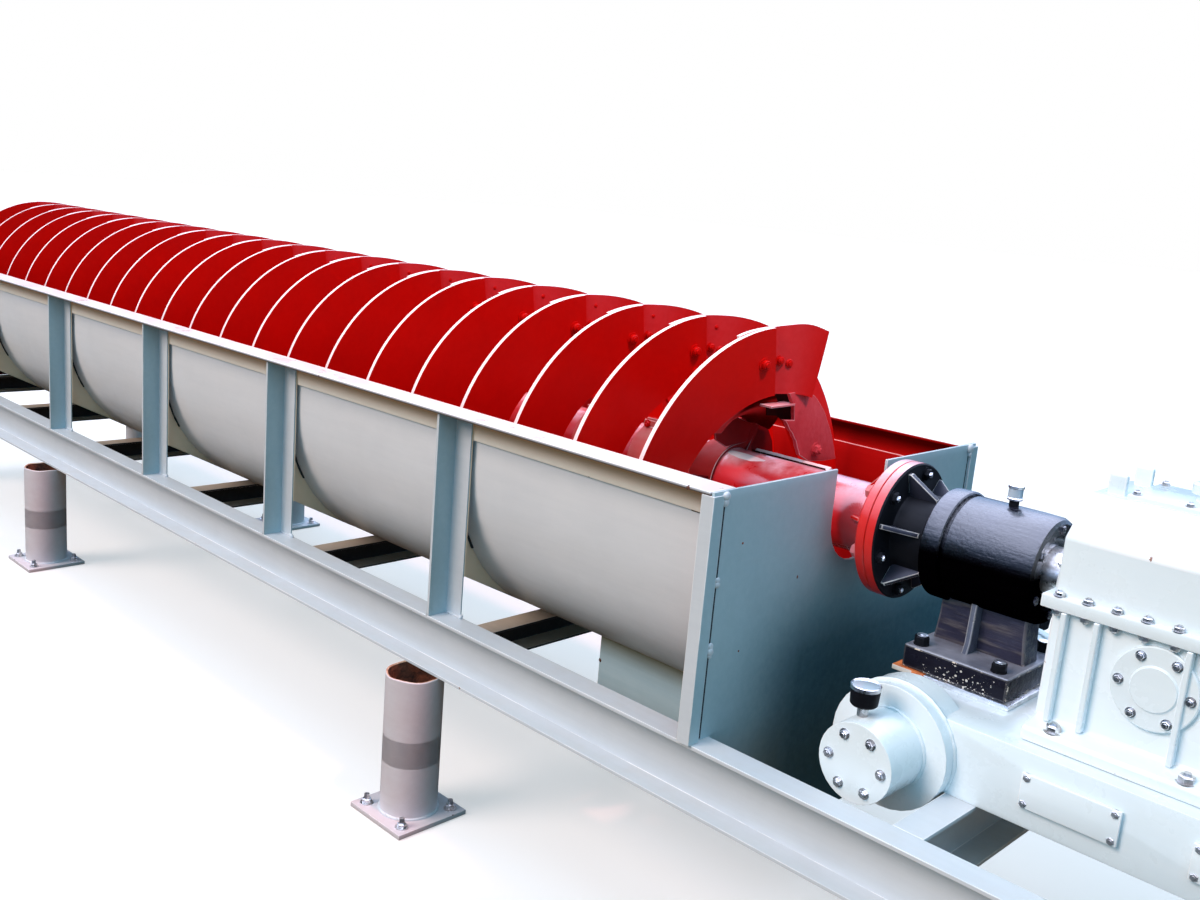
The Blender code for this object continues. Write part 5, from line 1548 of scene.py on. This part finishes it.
# Gear unit: split casing with ribs, covers and bolts
gear = {"x": (0.500, 0.820), "half": 0.165, "low": 0.643, "high": 1.073, "flange": 0.016, "flangeHalf": 0.012,
        "notch": (0.036, 0.056), "coverX": 0.03, "coverDrop": 0.095, "lugY": 0.060, "ribs": (0.028, 0.085),
        "cover": ((0.0, 0.0), (0.0, 0.072), (0.008, 0.072), (0.010, 0.070), (0.010, 0.040), (0.014, 0.037),
                  (0.014, 0.0)),
        "breather": ((0.0, 0.0), (0.0, 0.014), (0.012, 0.014), (0.014, 0.022), (0.030, 0.022),
                     (0.034, 0.017), (0.034, 0.0))}


def makeGearUnit():
    g, axis = gear, machine["spiralZ"]
    x0, x1 = (alongX(x) for x in g["x"])
    middle, half, roof, thick = (x0 + x1) / 2, g["half"], g["high"], g["flangeHalf"]
    coverX, coverZ = middle + g["coverX"], axis - g["coverDrop"]
    dress("gear_unit", ["drivePale"], group="drive", bevel=0.006)
    # the joint's flange leaves room for the shaft inside its cover
    out, front, back = half + g["flange"], x0 - g["flange"], x1 - 0.0005
    deep, wide = x0 + g["notch"][0], g["notch"][1]
    outline = [(front, -out), (back, -out), (back, out), (front, out), (front, wide), (deep, wide),
               (deep, -wide), (front, -wide)]
    bm = bmesh.new()
    addPart(bm, newPrism(outline, lambda u, v, w: Vector((u, v, axis + w)), -thick, thick, 0.003, 2))
    addPart(bm, newBlock((x0 + 0.060, -0.078, roof - 0.001), (x1 - 0.060, 0.078, roof + 0.009), 0.002))
    for side, sign in sides:
        # shaft end covers on the long sides, and lifting lugs on the roof
        addSolid(bm, lambda part: addTurned(part, g["cover"], lambda a, u, v: Vector((
            coverX + u, sign * (half - 0.001 + a), coverZ + v)), 48))
        y = sign * g["lugY"]
        for first, last in ((x0 + 0.020, x0 + 0.052), (x1 - 0.052, x1 - 0.020)):
            addPart(bm, newBlock((first, y - 0.006, roof - 0.002), (last, y + 0.006, roof + 0.036), 0.004))
    addSolid(bm, lambda part: addTurned(part, g["breather"], lambda a, u, v: Vector((
        middle + u, v, roof + 0.008 + a)), 32))
    finishMesh("gearCovers", bm, ["drivePale"], "drive")
    for side, sign in (("Far", 1), ("Near", -1)):
        y0, y1 = sorted((0.0, sign * 0.018))
        rib = newBlock((-0.005, y0, g["low"] + 0.034 - axis), (0.005, y1, -thick - 0.0005), 0.0015, 1)
        runs = [{"Count": 2, "Start": Vector((x0 + inset, sign * (half - 0.0005), axis)),
                 "Step": Vector((x1 - x0 - 2 * inset, 0.0, 0.0))} for inset in g["ribs"]]
        addCopies("gearRibs" + side, rib, runs, "drive", "drivePale")
    spots = []
    for side, sign in sides:
        for x in steps(x0 + 0.012, x1 - 0.012, 6):
            spots += [(Vector((x, sign * (out - 0.010), axis + way * thick)), (0, 0, way), 0.9)
                      for way in (1, -1)]
        spots += [(Vector((x0 + 0.05 + 0.22 * k, sign * (half + 0.030), g["low"] + 0.0255)), (0, 0, 1), 1.4)
                  for k in range(2)]
        spots += [(Vector((coverX + x, sign * (half + 0.009), coverZ + z)), (0, sign, 0), 0.75)
                  for x, z in around(6, 0.058)]
        spots += [(Vector((x0 + 0.072 + 0.088 * k, sign * 0.068, roof + 0.009)), (0, 0, 1), 0.7)
                  for k in range(3)]
    spots += [(spiralPlace(0.470, y, z), (-1, 0, 0), 0.8) for y, z in around(6, 0.078, 0.5)]
    addBolts("gearBolts", spots, "drive", "steel", "cover")
    print("gear unit made")


# Motor: finned body, end flange, fan cowl with an air grille, terminal box
motor = {"x0": 0.8203, "end": 1.150, "body": 0.108, "fin": 0.125, "flange": 0.140, "cowl": 0.118, "fins": 48,
         "finX": (0.850, 1.070), "slots": 6, "slotStep": 0.013, "grille": 0.094, "flangeRing": 0.128,
         "gland": ((0.0, 0.0), (0.0, 0.016), (0.010, 0.016), (0.012, 0.012), (0.022, 0.012), (0.024, 0.009),
                   (0.024, 0.0))}


def makeMotor():
    m, axis = motor, machine["spiralZ"]
    x0, end, flange, body, cowl = (m[key] for key in ("x0", "end", "flange", "body", "cowl"))
    profile = [(x0, 0.0), (x0, flange - 0.002), (x0 + 0.002, flange), (x0 + 0.018, flange),
               (x0 + 0.020, flange - 0.002), (x0 + 0.021, body + 0.006), (x0 + 0.030, body),
               (end - 0.076, body), (end - 0.076, cowl - 0.001), (end - 0.074, cowl), (end - 0.018, cowl),
               (end - 0.007, cowl - 0.005), (end, cowl - 0.016), (end, cowl - 0.022)]
    for k in range(m["slots"]):
        outer = cowl - 0.022 - k * m["slotStep"]
        profile += [(end, outer), (end, outer - 0.005), (end - 0.004, outer - 0.0055),
                    (end - 0.004, outer - 0.0125)]
    bm = bmesh.new()
    addTurned(bm, profile + [(end - 0.001, 0.0)], spiralPlace, 96)
    bmesh.ops.remove_doubles(bm, verts=bm.verts, dist=0.00002)
    for face in bm.faces:
        at = face.calc_center_median()
        sunk = alongX(end - 0.006) < at.x < alongX(end - 0.003)
        face.material_index = 1 if sunk and math.hypot(at.y, at.z - axis) < m["grille"] else 0
    finishMesh("motorBody", bm, ["drivePale", "couplingBlack"], "drive", ["motor"], recalc=True)
    first, last = (x - x0 for x in m["finX"])
    fin = newBlock((first, -0.0018, body - 0.002), (last, 0.0018, m["fin"]), 0.0008, 1)
    addCopies("motorFins", fin, [{"Count": m["fins"], "Start": spiralPlace(x0, 0.0, 0.0), "First Turn": 3.75,
                                  "Turn": 360.0 / m["fins"]}], "drive", "drivePale")
    left, right, low, high = alongX(x0 + 0.090), alongX(x0 + 0.210), axis + 0.095, axis + 0.175
    bm = bmesh.new()
    addPart(bm, newBlock((left, -0.055, low), (right, 0.055, high - 0.014), 0.005, 3))
    addPart(bm, newBlock((left - 0.001, -0.056, high - 0.0135), (right + 0.001, 0.056, high), 0.004, 3))
    addSolid(bm, lambda part: addTurned(part, m["gland"], lambda a, u, v: Vector((
        (left + right) / 2 + u, -0.054 - a, low + 0.034 + v)), 24))
    finishMesh("terminalBox", bm, ["drivePale"], "drive")
    spots = [(Vector((x, y, high)), (0, 0, 1), 0.55) for x in (left + 0.010, right - 0.010)
             for y in (-0.045, 0.045)]
    spots += [(spiralPlace(x0 + 0.020, y, z), (1, 0, 0), 0.8) for y, z in around(8, m["flangeRing"], 0.5)]
    addBolts("motorBolts", spots, "drive", "steel", "cover")
    print("motor made")


# Tail bearing: flanged cap bolted to the tail end plate
def makeTailBearing():
    low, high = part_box("tail_bearing")
    face, back, axis, bore = high.x, low.x, machine["spiralZ"], 0.0459
    bm = bmesh.new()
    addTurned(bm, [(face, bore), (face, 0.105), (face - 0.014, 0.105), (face - 0.018, 0.102),
                   (face - 0.020, 0.080), (face - 0.026, 0.075), (face - 0.054, 0.071), (face - 0.062, 0.066),
                   (back, 0.050), (back, 0.0), (face - 0.042, 0.0), (face - 0.042, bore), (face, bore)],
              lambda a, u, v: Vector((a, u, axis + v)))
    bmesh.ops.remove_doubles(bm, verts=bm.verts, dist=0.00002)
    finishMesh("tailCap", bm, ["bearingNavy"], "black", ["tail_bearing"], recalc=True)
    spots = [(Vector((face - 0.0185, y, axis + z)), (-1, 0, 0), 1.0) for y, z in around(6, 0.091, 0.5)]
    spots.append((Vector((face - 0.040, 0.0, axis + 0.0715)), (0, 0, 1), 0.7))
    addBolts("tailBolts", spots, "black", "bearingNavy", "tail")


makeTrough()
makeFrame()
makeLegs()
makeFrameWelds()
makeMarks()
print("trough and frame dressed")
makeCoupling()
makeBearing()
makeCups()
makeDriveBase()
makeGearUnit()
makeMotor()
makeTailBearing()
print("drive dressed")

# Studio: pale floor, a low warm key from the near side, a blue sky that is bright overhead
studio = {"lens": 35.63, "place": (3.0373, -2.1428, 1.513), "turn": (77.6875, -4.7260, 44.7672),
          "keyFrom": (-0.27, -0.75, 0.60), "keyPower": 2.8, "keyColor": (1.0, 0.77, 0.68), "keyAngle": 32.0,
          "spotPlace": (4.5, -0.3, 7.0), "spotAim": (-0.6, 0.0, 0.9), "spotPower": 1500.0, "spotSize": 30.5,
          "spotColor": (1.0, 0.40, 0.36), "horizon": (0.01, 0.34, 0.50), "zenith": (0.95, 1.22, 1.50),
          "glossLow": (0.42, 0.64, 1.05), "glossHigh": (4.2, 4.6, 6.2), "floor": (0.55, 0.55, 0.55),
          "floorGlow": 0.46, "floorDim": (0.25, 0.155, 0.085), "floorMirrored": (0.02, 0.02, 0.02)}


def putInScene(name, data):
    holder = bpy.data.objects.new(name, data)
    bpy.context.scene.collection.objects.link(holder)
    return holder


def addLamp(name, kind, place, aim, power, color):
    lamp = bpy.data.lights.new(name, kind)
    lamp.energy, lamp.color = power, color
    holder = putInScene(name, lamp)
    holder.location = place
    holder.rotation_euler = (Vector(aim) - Vector(place)).to_track_quat("-Z", "Y").to_euler()
    holder.visible_glossy = False
    return lamp


def makeCamera():
    camera = bpy.data.cameras.new("camera")
    camera.lens = studio["lens"]
    camera.sensor_width = 36.0
    camera.clip_end = 200.0
    eye = putInScene("camera", camera)
    eye.location = studio["place"]
    eye.rotation_euler = [math.radians(a) for a in studio["turn"]]
    bpy.context.scene.camera = eye


def makeFloor():
    bm = bmesh.new()
    bmesh.ops.create_grid(bm, x_segments=1, y_segments=1, size=60.0)
    floor = putInScene("floor", toMesh("floor", bm))
    floor.location.z = -0.001
    # the floor is pale to the eye and throws back less light than it shows
    material, tree, shader = startMaterial("floorPale")
    for label, value in (("Base Color", (*studio["floor"], 1.0)), ("Roughness", 0.85),
                         ("Emission Color", (1.0, 1.0, 1.0, 1.0)),
                         ("Emission Strength", studio["floorGlow"])):
        shader.inputs[label].default_value = value
    ray = wire(tree, "ShaderNodeLightPath").outputs
    shades = mixColor(tree, ray["Is Glossy Ray"], studio["floorDim"], studio["floorMirrored"])
    dim = make(tree, "ShaderNodeBsdfDiffuse", {"Color": shades})
    both = make(tree, "ShaderNodeMixShader", {0: ray["Is Camera Ray"], 1: dim, 2: shader.outputs[0]})
    tree.links.new(both, tree.nodes["Material Output"].inputs["Surface"])
    floor.data.materials.append(material)


def makeSky():
    world = bpy.data.worlds.new("studioWorld")
    world.use_nodes = True
    bpy.context.scene.world = world
    tree = world.node_tree
    tree.nodes.clear()
    ray = wire(tree, "ShaderNodeLightPath").outputs
    toward = wire(tree, "ShaderNodeTexCoord").outputs["Generated"]
    lift = ease(tree, wire(tree, "ShaderNodeSeparateXYZ", {"Vector": toward}).outputs["Z"], 0.0, 0.95)
    soft = mixColor(tree, calc(tree, "POWER", lift, 2.7), studio["horizon"], studio["zenith"])
    glossy = mixColor(tree, calc(tree, "POWER", lift, 1.5), studio["glossLow"], studio["glossHigh"])
    color = mixColor(tree, ray["Is Glossy Ray"], soft, glossy)
    color = mixColor(tree, ray["Is Camera Ray"], color, (1.0, 1.0, 1.0))
    sky = make(tree, "ShaderNodeBackground", {"Color": color, "Strength": 1.0})
    wire(tree, "ShaderNodeOutputWorld", {"Surface": sky})


def makeStudio():
    makeCamera()
    makeFloor()
    makeSky()
    key = addLamp("keyLight", "SUN", Vector(studio["keyFrom"]) * 8.0, (0.0, 0.0, 0.0), studio["keyPower"],
                  studio["keyColor"])
    key.angle = math.radians(studio["keyAngle"])
    spot = addLamp("spiralLight", "SPOT", studio["spotPlace"], studio["spotAim"], studio["spotPower"],
                   studio["spotColor"])
    spot.spot_size = math.radians(studio["spotSize"])
    spot.spot_blend = 0.12
    spot.shadow_soft_size = 0.25
    bpy.context.scene.view_settings.view_transform = "Standard"


makeStudio()
print("studio made")
